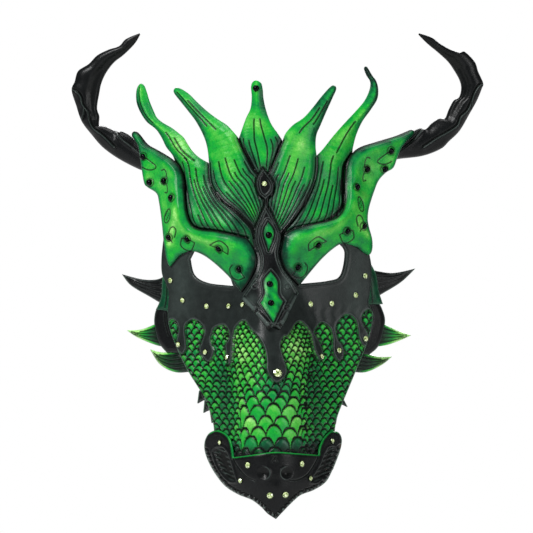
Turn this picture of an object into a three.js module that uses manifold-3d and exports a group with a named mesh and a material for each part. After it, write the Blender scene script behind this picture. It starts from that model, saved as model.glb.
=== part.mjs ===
// A moulded leather dragon mask: carved face shell, brows, crest, horns, cheek frill, snout plate,
// nose ornament, rivets, and the strap that holds it on the head.
// Millimetres, +Z up. The mask looks along -Y, and the origin is at eye level on the nose bridge.
import * as THREE from "three";
import { mergeVertices } from "three/addons/utils/BufferGeometryUtils.js";
import Module from "manifold-3d";

const wasm = await Module();
wasm.setup();

// Driving dimensions.
const WRAP_DEPTH = 70; // how far the sides wrap back round the face
const WRAP_WIDTH = 85; // the half width over which they do
const CREST_LEAN = 0.12; // the crest leans back this much for each millimetre of height
const LEAN_START = 20;
const BROW_BULGE = 6;
const SKIN = 2.6; // leather thickness
const GAP = 0.4; // clearance between neighbouring pieces
const LAYER = SKIN + GAP;
const GRID = 8; // spacing of the moulded surface's facets
const SAMPLE = 7; // spacing of points along an outline
const MERGE = 1e-4;
const PRISM_FRONT = -80; // y of the prisms' two ends, clear of the whole mask
const PRISM_BACK = 110;
const STUD_RADIUS = 2.7;
const STUD_HEIGHT = 1.9;
const CRYSTAL_RADIUS = 2.4;
const CRYSTAL_HEIGHT = 2.2;
const PIVOT_X = 62; // the strap rivets
const PIVOT_Y = 46;
const PIVOT_Z = 14;
const STRAP_WIDTH = 18;
const STRAP_SKIN = 2;
const STRAP_DROP = 106; // how far the hanging strap reaches below its rivets

const blackLeather = new THREE.MeshStandardMaterial({ color: 0x17191b, roughness: 0.45 });
const greenLeather = new THREE.MeshStandardMaterial({ color: 0x1f7a2e, roughness: 0.5 });
const strapLeather = new THREE.MeshStandardMaterial({ color: 0x201c19, roughness: 0.6 });
const studMetal = new THREE.MeshStandardMaterial({ color: 0x26282b, roughness: 0.3, metalness: 0.8 });
const crystalGlass = new THREE.MeshStandardMaterial({ color: 0xc9d96a, roughness: 0.1 });
const buckleMetal = new THREE.MeshStandardMaterial({ color: 0x8d8f90, roughness: 0.35, metalness: 1 });

const mask = new THREE.Group();

function addMesh(name, geometry, material) {
  const mesh = new THREE.Mesh(geometry, material);
  mesh.name = name;
  mask.add(mesh);
}

// The moulded surface: y of the leather's front for each x and z.

function smooth(low, high, value) {
  return THREE.MathUtils.smoothstep(value, low, high);
}

function centreX(z) {
  return z > 0 ? -0.7 - 0.055 * z : -0.7 - 0.026 * z;
}

function muzzleHeight(z) {
  const rise = 34 * smooth(-20, 120, -z) + 12 * smooth(-25, 40, -z);
  return rise - 8 * smooth(145, 185, -z);
}

function muzzleWidth(z) {
  return 15 + 29 * smooth(0, 130, -z);
}

function frontY(x, z) {
  const wrap = WRAP_DEPTH * (1 - Math.exp(-((x / WRAP_WIDTH) ** 2)));
  const lean = CREST_LEAN * Math.max(0, z - LEAN_START);
  const across = Math.abs(x - centreX(z)) / muzzleWidth(z);
  const muzzle = muzzleHeight(z) * Math.exp(-(across ** 2.6));
  const side = Math.abs(x);
  const browLine = 24 + 0.3 * (side - 20);
  const browSpan = smooth(8, 30, side) * (1 - smooth(62, 84, side));
  const brow = BROW_BULGE * browSpan * Math.exp(-(((z - browLine) / 15) ** 2));
  return wrap + lean - muzzle - brow;
}

// Solids.

function toSolid(geometry) {
  const bare = geometry.index ? geometry.toNonIndexed() : geometry.clone();
  bare.deleteAttribute("normal");
  bare.deleteAttribute("uv");
  const merged = mergeVertices(bare, MERGE);
  return new wasm.Manifold(
    new wasm.Mesh({
      numProp: 3,
      vertProperties: merged.attributes.position.array,
      triVerts: new Uint32Array(merged.index.array),
    }),
  );
}

function toGeometry(solid) {
  const made = solid.getMesh();
  const geometry = new THREE.BufferGeometry();
  geometry.setAttribute("position", new THREE.BufferAttribute(made.vertProperties, 3));
  geometry.setIndex(new THREE.BufferAttribute(made.triVerts, 1));
  geometry.computeVertexNormals();
  return geometry;
}

// An outline is a list of runs. Each run is a smooth curve through its points, and runs meet in corners.
function outlinePoints(runs) {
  const points = [];
  for (const run of runs) {
    const knots = run.map(([x, z]) => new THREE.Vector2(x, z));
    if (knots.length === 2) {
      points.push(knots[0]);
      continue;
    }
    const curve = new THREE.SplineCurve(knots);
    const steps = Math.max(knots.length - 1, Math.round(curve.getLength() / SAMPLE));
    points.push(...curve.getSpacedPoints(steps).slice(0, -1));
  }
  return points;
}

// A prism through the whole depth of the mask, with the outline as its section.
function prism(runs) {
  const shape = new THREE.Shape(outlinePoints(runs));
  const geometry = new THREE.ExtrudeGeometry(shape, { depth: PRISM_BACK - PRISM_FRONT, bevelEnabled: false });
  geometry.rotateX(Math.PI / 2);
  geometry.translate(0, PRISM_BACK, 0);
  return toSolid(geometry);
}

// A box splits the squares of its front and back the opposite ways. This turns the front's the same way as
// the back's, so that neighbouring layers of leather nest.
function nestDiagonals(geometry) {
  const { start, count } = geometry.groups[3];
  const index = geometry.index;
  for (let i = start; i < start + count; i += 6) {
    const [a, b, d, , c] = index.array.slice(i, i + 5);
    index.array.set([a, b, c, a, c, d], i);
  }
}

// A sheet of leather moulded to the surface, its front face `offset` behind it.
function mouldedSheet(box, offset, thickness) {
  const x0 = Math.floor(box.min.x / GRID) - 1;
  const x1 = Math.ceil(box.max.x / GRID) + 1;
  const z0 = Math.floor(box.min.y / GRID) - 1;
  const z1 = Math.ceil(box.max.y / GRID) + 1;
  const width = (x1 - x0) * GRID;
  const height = (z1 - z0) * GRID;
  const geometry = new THREE.BoxGeometry(width, 2, height, x1 - x0, 1, z1 - z0);
  nestDiagonals(geometry);
  geometry.translate(x0 * GRID + width / 2, 0, z0 * GRID + height / 2);
  const position = geometry.attributes.position;
  for (let i = 0; i < position.count; i += 1) {
    const x = position.getX(i);
    const z = position.getZ(i);
    const back = position.getY(i) > 0 ? thickness : 0;
    position.setY(i, frontY(x, z) + offset + back);
  }
  return toSolid(geometry);
}

function leatherPiece(runs, offset, thickness = SKIN, holes = []) {
  const box = new THREE.Box2().setFromPoints(outlinePoints(runs));
  let solid = mouldedSheet(box, offset, thickness).intersect(prism(runs));
  for (const hole of holes) {
    solid = solid.subtract(prism(hole));
  }
  return solid;
}

function addLeather(name, runs, offset, material, thickness = SKIN, holes = []) {
  addMesh(name, toGeometry(leatherPiece(runs, offset, thickness, holes)), material);
}

// Face shell, with the two eye holes cut through it.

const leftEye = [
  [[-54.5, 4], [-51.5, -7], [-42, -12.5], [-24.5, -14.5]],
  [[-24.5, -14.5], [-30, 0], [-38, 10], [-50, 13]],
  [[-50, 13], [-54.5, 4]],
];
const rightEye = [
  [[23, -13], [31, 2], [39.5, 11], [50, 15]],
  [[50, 15], [54, 8.5], [51, -7], [42.5, -11], [23, -13]],
];
const faceShell = [
  [[-73, 26], [-75, 4.5], [-73, -11], [-70, -20.5], [-70.5, -32.5], [-69.5, -43], [-65, -56],
    [-57, -73], [-45, -92.5], [-39, -108], [-37.5, -118]],
  [[-37.5, -118], [-36, -138], [-24, -152], [-2, -164], [6, -167], [14, -162], [32, -150],
    [45, -136], [47, -114.5]],
  [[47, -114.5], [49.5, -104], [61, -76.5], [70, -54], [74, -36], [71, -27], [72, -18], [74, -3], [72.5, 26]],
  [[72.5, 26], [52, 24.5], [30, 13], [0, 10.5], [-30, 11.5], [-54, 20.5], [-73, 26]],
];
addLeather("face_shell", faceShell, 0, greenLeather, SKIN, [leftEye, rightEye]);

// Brows: raised ridges in front of the shell, from the horn sockets down to the nose bridge.

const leftBrow = [
  [[-94, 94], [-80.5, 83.5], [-64, 73], [-57, 55], [-54, 32], [-47.5, 25], [-34.5, 23.5], [-14.5, 19]],
  [[-14.5, 19], [-10.5, 13], [-8, 6], [-9, -2], [-14, -12], [-19, -19]],
  [[-19, -19], [-28.5, -7], [-43, 5.5], [-54, 9.5], [-65, 4], [-68.5, -1]],
  [[-68.5, -1], [-73, 10], [-73.5, 27], [-77, 47], [-86.5, 55], [-89.5, 67], [-94, 94]],
];
const rightBrow = [
  [[102, 95.5], [75.5, 87], [59, 78.5], [53, 64.5], [52, 41], [41, 31], [20, 26], [11, 21]],
  [[11, 21], [9.5, 12.5], [9, 6.5], [11.7, -2], [17, -9], [22, -14.5]],
  [[22, -14.5], [37.5, 4], [49.5, 14.5], [58, 15], [65, 11.5], [72.5, 7]],
  [[72.5, 7], [73, 20], [70.5, 32.5], [74.5, 52.5], [84.5, 65], [93.5, 84], [102, 95.5]],
];
addLeather("left_brow", leftBrow, -LAYER, greenLeather);
addLeather("right_brow", rightBrow, -LAYER, greenLeather);

// Crest: five flame-shaped blades side by side, tucked under the brows and the ornament.

const crestBlades = {
  crest_blade_1: [
    [[-89.5, 128], [-92.5, 114], [-84.5, 100.5], [-75, 93.5], [-69, 84.5], [-66, 70]],
    [[-66, 70], [-62, 27]],
    [[-62, 27], [-54, 23], [-30, 14], [-17, 13]],
    [[-17, 13], [-17, 22.5]],
    [[-17, 22.5], [-33.7, 39.5], [-40.5, 55.5], [-43.5, 71.5]],
    [[-43.5, 71.5], [-57, 88], [-77, 103.5], [-82, 110.5], [-89.5, 128]],
  ],
  crest_blade_2: [
    [[-65.5, 124.5], [-56, 107], [-44, 87], [-42, 71.5], [-39, 55.5], [-32, 40], [-15, 22]],
    [[-15, 22], [-15, 13]],
    [[-15, 13], [-1.8, 12.2]],
    [[-1.8, 12.2], [-3.9, 68.5]],
    [[-3.9, 68.5], [-20, 88]],
    [[-20, 88], [-39, 106], [-51, 116.5], [-65.5, 124.5]],
  ],
  crest_blade_3: [
    [[-8, 129.5], [-11.5, 119], [-13, 105], [-18.5, 89]],
    [[-18.5, 89], [-3.5, 70]],
    [[-3.5, 70], [9, 85.5]],
    [[9, 85.5], [-1, 106], [-3, 119], [-8, 129.5]],
  ],
  crest_blade_4: [
    [[47, 126], [29.5, 109], [14, 93], [9.6, 84.5]],
    [[9.6, 84.5], [-3.1, 68.5]],
    [[-3.1, 68.5], [-1, 12.2]],
    [[-1, 12.2], [13, 13]],
    [[13, 13], [13, 22]],
    [[13, 22], [22.5, 36], [32, 59.5], [33, 77]],
    [[33, 77], [33, 92.5], [40.5, 108], [47, 126]],
  ],
  crest_blade_5: [
    [[69, 140], [71.5, 129.5], [65.5, 110.5], [46, 89], [34.5, 77]],
    [[34.5, 77], [33.7, 59.5], [24, 35], [14.5, 21]],
    [[14.5, 21], [14.5, 13.2]],
    [[14.5, 13.2], [30, 15], [52, 26.5], [60, 28]],
    [[60, 28], [62, 50], [61, 70], [61, 84]],
    [[61, 84], [64, 97.5], [76.5, 115], [77.5, 123.5], [69, 140]],
  ],
};
for (const [name, runs] of Object.entries(crestBlades)) {
  addLeather(name, runs, 0, greenLeather);
}

// Nose ornament: the black plaque down the middle, with two green insets on it.

const noseOrnament = [
  [[-3.5, 68], [-8, 59], [-3.5, 45], [-8.5, 26], [-9, 16.5], [-5, 4.5], [-11.5, -12.5], [-18.5, -23]],
  [[-18.5, -23], [-9.5, -33.5], [4, -45]],
  [[4, -45], [12.5, -38.5], [21.5, -19]],
  [[21.5, -19], [10.5, -3], [7.5, 7], [9, 21.5], [0.5, 45], [3.5, 58], [-3.5, 68]],
];
const upperInset = [
  [[0, 30.5], [-3, 22.5], [0.5, 9.5]],
  [[0.5, 9.5], [4.5, 22.5], [0, 30.5]],
];
const lowerInset = [
  [[2, -4], [-3, -11], [-5.5, -26.5]],
  [[-5.5, -26.5], [4, -40.5]],
  [[4, -40.5], [11, -25.5]],
  [[11, -25.5], [7, -11.5], [2, -4]],
];
const INSET_SKIN = 1.4;
addLeather("nose_ornament", noseOrnament, -LAYER, blackLeather);
addLeather("upper_inset", upperInset, -LAYER - GAP - INSET_SKIN, greenLeather, INSET_SKIN);
addLeather("lower_inset", lowerInset, -LAYER - GAP - INSET_SKIN, greenLeather, INSET_SKIN);

// Snout plate: the black upper lip over the end of the muzzle.

const snoutPlate = [
  [[-24, -135], [-10.5, -132.5], [4.5, -130.5], [19, -131.5], [35, -133]],
  [[35, -133], [38.5, -123.5], [43.5, -117], [53, -120], [54, -126.5], [49.5, -143.5], [36, -159],
    [17.5, -171], [6, -178.5]],
  [[6, -178.5], [-10.5, -166.5], [-32, -154.5], [-44.5, -132], [-41.5, -119], [-34.5, -116],
    [-27.5, -121], [-24, -135]],
];
addLeather("snout_plate", snoutPlate, -LAYER, blackLeather);

// Cheek frill on each side: a green strip, a dark flap, three spikes and a strip of jaw spines.

const frill = {
  left_cheek_strip: [
    [[-73, -4], [-77, -14], [-79.5, -24], [-79, -31]],
    [[-79, -31], [-65.5, -31]],
    [[-65.5, -31], [-65.5, -4]],
    [[-65.5, -4], [-73, -4]],
  ],
  left_cheek_flap: [
    [[-79, -32.5], [-79.5, -43], [-75.5, -56], [-70.5, -60.5]],
    [[-70.5, -60.5], [-60, -52]],
    [[-60, -52], [-65.5, -32.5]],
    [[-65.5, -32.5], [-79, -32.5]],
  ],
  left_jaw_spines: [
    [[-54, -71], [-51, -88], [-49.5, -97.5]],
    [[-49.5, -97.5], [-45.5, -94], [-45.5, -104]],
    [[-45.5, -104], [-41.5, -100], [-39.5, -111.5]],
    [[-39.5, -111.5], [-30, -106], [-38, -88], [-46, -70]],
    [[-46, -70], [-54, -71]],
  ],
  right_cheek_strip: [
    [[73, 0], [78, -14], [80.5, -27.5]],
    [[80.5, -27.5], [65.5, -28.5]],
    [[65.5, -28.5], [65.5, 0]],
    [[65.5, 0], [73, 0]],
  ],
  right_cheek_flap: [
    [[79, -30], [82.5, -40.5], [76.5, -58.5], [71, -62]],
    [[71, -62], [60, -54]],
    [[60, -54], [65.5, -30]],
    [[65.5, -30], [79, -30]],
  ],
  right_jaw_spines: [
    [[58, -74], [57.5, -99]],
    [[57.5, -99], [51, -96], [48.5, -111]],
    [[48.5, -111], [38, -104], [45, -86], [50, -72]],
    [[50, -72], [58, -74]],
  ],
};
for (const [name, runs] of Object.entries(frill)) {
  addLeather(name, runs, LAYER, name.includes("strip") ? greenLeather : blackLeather);
}

const spikes = {
  left_spike_1: [
    [[-103, -6.5], [-89, -10], [-78, -10], [-72, -7]],
    [[-72, -7], [-72, -29]],
    [[-72, -29], [-83, -22.5], [-96.5, -14.5], [-103, -6.5]],
  ],
  left_spike_2: [
    [[-99.5, -46], [-88, -45], [-72, -38]],
    [[-72, -38], [-68, -58]],
    [[-68, -58], [-78.5, -56.5], [-92, -51], [-99.5, -46]],
  ],
  left_spike_3: [
    [[-83, -59.5], [-74, -61.5], [-62, -60]],
    [[-62, -60], [-50, -74]],
    [[-50, -74], [-64.5, -75.5], [-76, -70], [-83, -59.5]],
  ],
  right_spike_1: [
    [[104, -2.5], [88, -5.5], [72, -3]],
    [[72, -3], [72, -25]],
    [[72, -25], [81, -20], [94, -12], [104, -2.5]],
  ],
  right_spike_2: [
    [[101, -49.5], [93.5, -47], [82.5, -42], [72, -38]],
    [[72, -38], [70, -58]],
    [[70, -58], [83, -56.5], [93.5, -53], [101, -49.5]],
  ],
  right_spike_3: [
    [[87.5, -64.5], [78, -64.5], [64, -61]],
    [[64, -61], [55, -74]],
    [[55, -74], [68, -75.5], [80, -70.5], [87.5, -64.5]],
  ],
};
for (const [name, runs] of Object.entries(spikes)) {
  addLeather(name, runs, 2 * LAYER, blackLeather);
}

// Horns: creased tubes that sweep out and up, then hook back in at the tip.
// Each station is x, y, z of the middle, the width across and the depth.

function horn(stations) {
  const middle = new THREE.CatmullRomCurve3(stations.map(([x, y, z]) => new THREE.Vector3(x, y, z)));
  const sections = stations.map(([, , , width, depth]) => new THREE.Vector2(width, depth));
  const sizes = new THREE.SplineCurve(sections);
  const rings = 18;
  const sides = 10;
  const geometry = new THREE.CylinderGeometry(1, 1, 1, sides, rings);
  const position = geometry.attributes.position;
  const depthAxis = new THREE.Vector3(0, 1, 0);
  for (let i = 0; i < position.count; i += 1) {
    const along = THREE.MathUtils.clamp(position.getY(i) + 0.5, 0, 1);
    const centre = middle.getPoint(along);
    const size = sizes.getPoint(along);
    const across = new THREE.Vector3().crossVectors(middle.getTangent(along), depthAxis).normalize();
    centre.addScaledVector(across, (position.getX(i) * size.x) / 2);
    centre.addScaledVector(depthAxis, (position.getZ(i) * size.y) / 2);
    position.setXYZ(i, centre.x, centre.y, centre.z);
  }
  return toSolid(geometry);
}

const leftHorn = [
  [-84, 65, 77, 20, 8],
  [-93, 67.5, 80, 25, 10],
  [-112, 69, 89.5, 15.5, 12],
  [-124, 70, 100, 12.5, 12],
  [-129, 70, 112.5, 14.5, 12],
  [-129.5, 70, 125, 19.5, 12],
  [-126, 69, 135, 19.5, 11],
  [-118.5, 67, 143.5, 14.5, 9],
  [-108.5, 64, 151, 9, 7],
  [-99.5, 61, 157, 6, 5],
  [-90.5, 58, 163.5, 1.5, 1.5],
];
const rightHorn = [
  [86, 66, 80, 20, 8],
  [97, 69, 85, 25, 10],
  [110, 71, 87.5, 19, 12],
  [122, 72, 94, 17.5, 12],
  [130, 72, 100, 15, 12],
  [135.5, 72, 108.5, 15, 12],
  [140.5, 72, 117, 14.5, 12],
  [144.5, 71, 127, 16, 12],
  [141.5, 70, 136, 16, 11],
  [134.5, 68, 146, 13, 9],
  [124.5, 65, 152, 8, 7],
  [115, 62, 157.5, 5, 5],
  [106.5, 59, 163, 1.5, 1.5],
];
addMesh("left_horn", toGeometry(horn(leftHorn)), blackLeather);
addMesh("right_horn", toGeometry(horn(rightHorn)), blackLeather);

// Domed studs and faceted crystals, each a lathed cap standing on the leather.

function surfaceNormal(x, z) {
  const step = 2;
  const slopeX = (frontY(x + step, z) - frontY(x - step, z)) / (2 * step);
  const slopeZ = (frontY(x, z + step) - frontY(x, z - step)) / (2 * step);
  return new THREE.Vector3(slopeX, -1, slopeZ).normalize();
}

function addCap(name, x, z, level, profile, sides, material) {
  const geometry = new THREE.LatheGeometry(profile, sides);
  const mesh = new THREE.Mesh(geometry, material);
  const normal = surfaceNormal(x, z);
  mesh.name = name;
  mesh.quaternion.setFromUnitVectors(new THREE.Vector3(0, 1, 0), normal);
  mesh.position.set(x, frontY(x, z) - level, z).addScaledVector(normal, 1);
  mask.add(mesh);
}

function domeProfile(radius, height) {
  const points = [new THREE.Vector2(0, 0), new THREE.Vector2(radius, 0)];
  for (let i = 1; i < 3; i += 1) {
    const angle = (i / 3) * (Math.PI / 2);
    points.push(new THREE.Vector2(radius * Math.cos(angle), height * Math.sin(angle)));
  }
  points.push(new THREE.Vector2(0, height));
  return points;
}

function crystalProfile(radius, height) {
  return [
    new THREE.Vector2(0, 0),
    new THREE.Vector2(radius, 0),
    new THREE.Vector2(radius, height * 0.4),
    new THREE.Vector2(radius * 0.55, height),
    new THREE.Vector2(0, height),
  ];
}

const browStuds = {
  left: [[-87.5, 76.5], [-83, 58], [-72.5, 59], [-66.5, 46.5], [-69, 19.5], [-56, 18.5], [-33, 12],
    [-19.5, -3]],
  right: [[86, 80.5], [69, 67.5], [82, 67.5], [61, 54], [66.5, 27.5], [55, 24], [34, 14.5], [20.5, -1.5]],
};
for (const [side, places] of Object.entries(browStuds)) {
  places.forEach(([x, z], index) => {
    const name = `${side}_brow_stud_${index + 1}`;
    addCap(name, x, z, LAYER, domeProfile(STUD_RADIUS, STUD_HEIGHT), 8, studMetal);
  });
}

const snoutCrystals = [[-33, -124], [-18.5, -150], [-13.5, -139], [1.5, -160], [11.5, -159.5], [23, -138.5],
  [29, -148.5], [44.5, -123]];
snoutCrystals.forEach(([x, z], index) => {
  const name = `snout_crystal_${index + 1}`;
  addCap(name, x, z, LAYER, crystalProfile(CRYSTAL_RADIUS, CRYSTAL_HEIGHT), 8, crystalGlass);
});
addCap("almond_crystal", -2.5, 57, LAYER, crystalProfile(CRYSTAL_RADIUS, CRYSTAL_HEIGHT), 8, crystalGlass);

// Strap anchors: a foot on the back of the shell and a tab that runs straight back for the strap rivet.

function blockSolid(x0, x1, y0, y1, z0, z1) {
  const geometry = new THREE.BoxGeometry(x1 - x0, y1 - y0, z1 - z0);
  geometry.translate((x0 + x1) / 2, (y0 + y1) / 2, (z0 + z1) / 2);
  return toSolid(geometry);
}

function turnedSolid(profile, sides, x, y, z, side) {
  const geometry = new THREE.LatheGeometry(profile.map(([r, h]) => new THREE.Vector2(r, h)), sides);
  geometry.rotateZ((-side * Math.PI) / 2);
  geometry.translate(x, y, z);
  return toSolid(geometry);
}

const TAB_SKIN = 2.4;
const TAB_IN = PIVOT_X + 1.8;
const TAB_OUT = TAB_IN + TAB_SKIN;
const TAB_HALF = 9;
const TAB_LOW = PIVOT_Z - 8;
const TAB_HIGH = PIVOT_Z + 8;
const FOOT_OUT = 73.5;
const RIVET_SHAFT = 2; // radii
const RIVET_HEAD = 4.6;
const HEAD_HEIGHT = 1.4;
const RIVET_SIDES = 16;
const HOLE_CLEARANCE = 0.35;
const HOLE_LENGTH = 24;

function shaftHole(side) {
  const radius = RIVET_SHAFT + HOLE_CLEARANCE;
  const profile = [[0, 0], [radius, 0], [radius, HOLE_LENGTH], [0, HOLE_LENGTH]];
  return turnedSolid(profile, RIVET_SIDES, side * (PIVOT_X - HOLE_LENGTH / 2), PIVOT_Y, PIVOT_Z, side);
}

for (const side of [-1, 1]) {
  const name = side < 0 ? "left" : "right";
  const near = side * TAB_IN;
  const far = side * FOOT_OUT;
  const foot = [
    [[near, TAB_LOW], [far, TAB_LOW]],
    [[far, TAB_LOW], [far, TAB_HIGH]],
    [[far, TAB_HIGH], [near, TAB_HIGH]],
    [[near, TAB_HIGH], [near, TAB_LOW]],
  ];
  const inner = Math.min(near, side * TAB_OUT);
  const outer = Math.max(near, side * TAB_OUT);
  const tab = blockSolid(inner, outer, PIVOT_Y - TAB_HALF, PIVOT_Y + TAB_HALF, TAB_LOW, TAB_HIGH);
  const anchor = leatherPiece(foot, LAYER, TAB_SKIN).add(tab).subtract(shaftHole(side));
  addMesh(`${name}_strap_anchor`, toGeometry(anchor), blackLeather);
  const start = PIVOT_X - STRAP_SKIN / 2 - GAP - HEAD_HEIGHT;
  const outside = TAB_OUT + GAP - start;
  const profile = [[0, 0], [RIVET_HEAD, 0], [RIVET_HEAD, HEAD_HEIGHT], [RIVET_SHAFT, HEAD_HEIGHT],
    [RIVET_SHAFT, outside], [RIVET_HEAD, outside], [RIVET_HEAD - HEAD_HEIGHT, outside + HEAD_HEIGHT],
    [0, outside + HEAD_HEIGHT]];
  const rivet = turnedSolid(profile, RIVET_SIDES, side * start, PIVOT_Y, PIVOT_Z, side);
  addMesh(`${name}_strap_rivet`, toGeometry(rivet), studMetal);
}

// Head strap. It hangs in a U behind the mask and swings back round the head.
// The buckle joins its two halves at the bottom. Positions below are x, and depth under the U's base line.

const BASE_Z = PIVOT_Z - STRAP_DROP;

function strapBand(points, width, spacing) {
  const curve = new THREE.SplineCurve(points.map(([x, z]) => new THREE.Vector2(x, z)));
  const steps = Math.round(curve.getLength() / spacing);
  const left = [];
  const right = [];
  for (let i = 0; i <= steps; i += 1) {
    const point = curve.getPointAt(i / steps);
    const tangent = curve.getTangentAt(i / steps);
    const across = new THREE.Vector2(-tangent.y, tangent.x).multiplyScalar(STRAP_SKIN / 2);
    left.push(point.clone().add(across));
    right.push(point.clone().sub(across));
  }
  const shape = new THREE.Shape([...left, ...right.reverse()]);
  const geometry = new THREE.ExtrudeGeometry(shape, { depth: width, bevelEnabled: false });
  geometry.rotateX(Math.PI / 2);
  geometry.translate(0, PIVOT_Y + width / 2, 0);
  return toSolid(geometry);
}

const under = (depth) => BASE_Z - depth;
const HEEL_X = 11;
const FRONT_X = -11;
const FRONT_DEPTH = 3.6;
const BAR = 1.5;

const rightLeg = [[62, PIVOT_Z + 9], [62, PIVOT_Z - 20], [58, -45], [47, -73], [33, -86]];
const leftLeg = rightLeg.map(([x, z]) => [-x, z]);

// The slot that the prong passes through, right through a strap near the buckle.
function prongSlot(x0, x1, halfWidth) {
  return blockSolid(x0, x1, PIVOT_Y - halfWidth, PIVOT_Y + halfWidth, under(9), under(-5));
}

const heelLoop = [[2, -3], [-0.5, -3], [-2.1, -2.1], [-3, 0], [-2.1, 2.1], [-0.5, 3], [2, 2.8]];
const heelTurn = heelLoop.map(([x, depth]) => [HEEL_X + x, under(depth)]);
const rightStrap = strapBand([...rightLeg, [22, under(-3.2)], ...heelTurn, [19, under(0.2)]], STRAP_WIDTH, 2)
  .subtract(shaftHole(1))
  .subtract(prongSlot(HEEL_X - 5, HEEL_X + 3.8, 2.3));
addMesh("right_strap", toGeometry(rightStrap), strapLeather);

const leftPath = [...leftLeg, [-22, under(-2.6)], [FRONT_X, under(0.2)], [0, under(3)],
  [HEEL_X, under(5.8)], [20, under(4.6)], [34, -89.6], [44, -82]];
const leftStrap = strapBand(leftPath, STRAP_WIDTH - 1, 4)
  .subtract(shaftHole(-1))
  .subtract(prongSlot(-7, HEEL_X, 1.6));
addMesh("left_strap", toGeometry(leftStrap), strapLeather);

function barAcross(x, depth, radius, halfLength) {
  const geometry = new THREE.CylinderGeometry(radius, radius, 2 * halfLength, 12);
  geometry.translate(x, PIVOT_Y, under(depth));
  return toSolid(geometry);
}

function sideBar(y) {
  const length = HEEL_X - FRONT_X + 3;
  const geometry = new THREE.BoxGeometry(length, 2.4, 2.6);
  geometry.rotateY(Math.atan2(FRONT_DEPTH, HEEL_X - FRONT_X) * -1);
  geometry.translate(0, y, under(FRONT_DEPTH / 2));
  return toSolid(geometry);
}

const FRAME_HALF = STRAP_WIDTH / 2 + 2;
const buckleFrame = barAcross(HEEL_X, 0, BAR, FRAME_HALF)
  .add(barAcross(FRONT_X, FRONT_DEPTH, BAR, FRAME_HALF))
  .add(sideBar(PIVOT_Y - FRAME_HALF))
  .add(sideBar(PIVOT_Y + FRAME_HALF));
addMesh("buckle_frame", toGeometry(buckleFrame), buckleMetal);

const PRONG_ROOT_DEPTH = 2.2;
const PRONG_TIP_DEPTH = FRONT_DEPTH + BAR + GAP + 0.9;
const PRONG_LENGTH = 24;
const tongueGeometry = new THREE.CylinderGeometry(0.7, 0.9, PRONG_LENGTH, 10);
tongueGeometry.rotateZ(Math.PI / 2);
tongueGeometry.rotateY(-Math.atan2(PRONG_TIP_DEPTH - PRONG_ROOT_DEPTH, PRONG_LENGTH));
tongueGeometry.translate(HEEL_X - PRONG_LENGTH / 2, PIVOT_Y, under((PRONG_TIP_DEPTH + PRONG_ROOT_DEPTH) / 2));
const buckleProng = barAcross(HEEL_X, 0, BAR + 1.5, 1.8)
  .add(toSolid(tongueGeometry))
  .subtract(barAcross(HEEL_X, 0, BAR + HOLE_CLEARANCE, 4));
addMesh("buckle_prong", toGeometry(buckleProng), buckleMetal);

const KEEPER_X = 30;
const KEEPER_Z = -89.7;
const KEEPER_TILT = 0.36;
const KEEPER_HALF = 4.4; // half the height of its opening
const keeper = blockSolid(-3, 3, -11.2, 11.2, -KEEPER_HALF - 1.8, KEEPER_HALF + 1.8)
  .subtract(blockSolid(-4, 4, -9.5, 9.5, -KEEPER_HALF, KEEPER_HALF));
const keeperGeometry = toGeometry(keeper);
keeperGeometry.rotateY(-KEEPER_TILT);
keeperGeometry.translate(KEEPER_X, PIVOT_Y, KEEPER_Z);
addMesh("strap_keeper", keeperGeometry, strapLeather);

export default mask;
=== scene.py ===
"""A moulded, carved and painted leather dragon mask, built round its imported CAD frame.

Shapes are worked out in millimetres in the part's frame (+Z up, the mask looks along -Y) and turned into
metres when a mesh is made.
"""
import math

import bpy
import numpy as np
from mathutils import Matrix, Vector
from mathutils.geometry import delaunay_2d_cdt
from mathutils.kdtree import KDTree


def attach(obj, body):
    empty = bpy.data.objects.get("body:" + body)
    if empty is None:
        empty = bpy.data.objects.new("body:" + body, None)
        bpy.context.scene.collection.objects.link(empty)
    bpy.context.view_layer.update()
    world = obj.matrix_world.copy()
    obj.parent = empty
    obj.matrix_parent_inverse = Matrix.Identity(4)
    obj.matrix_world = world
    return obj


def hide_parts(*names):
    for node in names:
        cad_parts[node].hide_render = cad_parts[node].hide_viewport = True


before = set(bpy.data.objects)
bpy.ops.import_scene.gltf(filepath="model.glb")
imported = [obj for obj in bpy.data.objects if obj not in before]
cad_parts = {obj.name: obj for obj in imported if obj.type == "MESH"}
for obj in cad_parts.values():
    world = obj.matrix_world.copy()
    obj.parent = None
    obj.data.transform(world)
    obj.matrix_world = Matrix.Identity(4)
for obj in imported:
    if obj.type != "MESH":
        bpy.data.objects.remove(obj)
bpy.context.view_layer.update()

MM = 0.001
LAYER = 3.0  # from the front of one layer of leather to the front of the next
SKIN = 2.6  # leather thickness
PIVOT_X = 62
PIVOT_Y = 46
PIVOT_Z = 14
STRAP_SKIN = 2.0
BASE_Z = PIVOT_Z - 106  # the bottom of the hanging strap
RIM_SAMPLE = 0.5
LINE_SAMPLE = 0.25
BACK_SAMPLE = 4.0
random = np.random.default_rng(7)


# The moulded surface


def smooth(low, high, value):
    share = np.clip((value - low) / (high - low), 0, 1)
    return share * share * (3 - 2 * share)


def hump(offset, width):
    return np.exp(-((offset / width) ** 2))


def centre_x(z):
    return np.where(z > 0, -0.7 - 0.055 * z, -0.7 - 0.026 * z)


def front_y(x, z):
    wrap = 70 * (1 - np.exp(-((x / 85) ** 2)))
    lean = 0.12 * np.maximum(0, z - 20)
    height = 34 * smooth(-20, 120, -z) + 12 * smooth(-25, 40, -z) - 8 * smooth(145, 185, -z)
    width = 15 + 29 * smooth(0, 130, -z)
    muzzle = height * np.exp(-((np.abs(x - centre_x(z)) / width) ** 2.6))
    side = np.abs(x)
    span = smooth(8, 30, side) * (1 - smooth(62, 84, side))
    brow = 6 * span * hump(z - (24 + 0.3 * (side - 20)), 15)
    return wrap + lean - muzzle - brow


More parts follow.
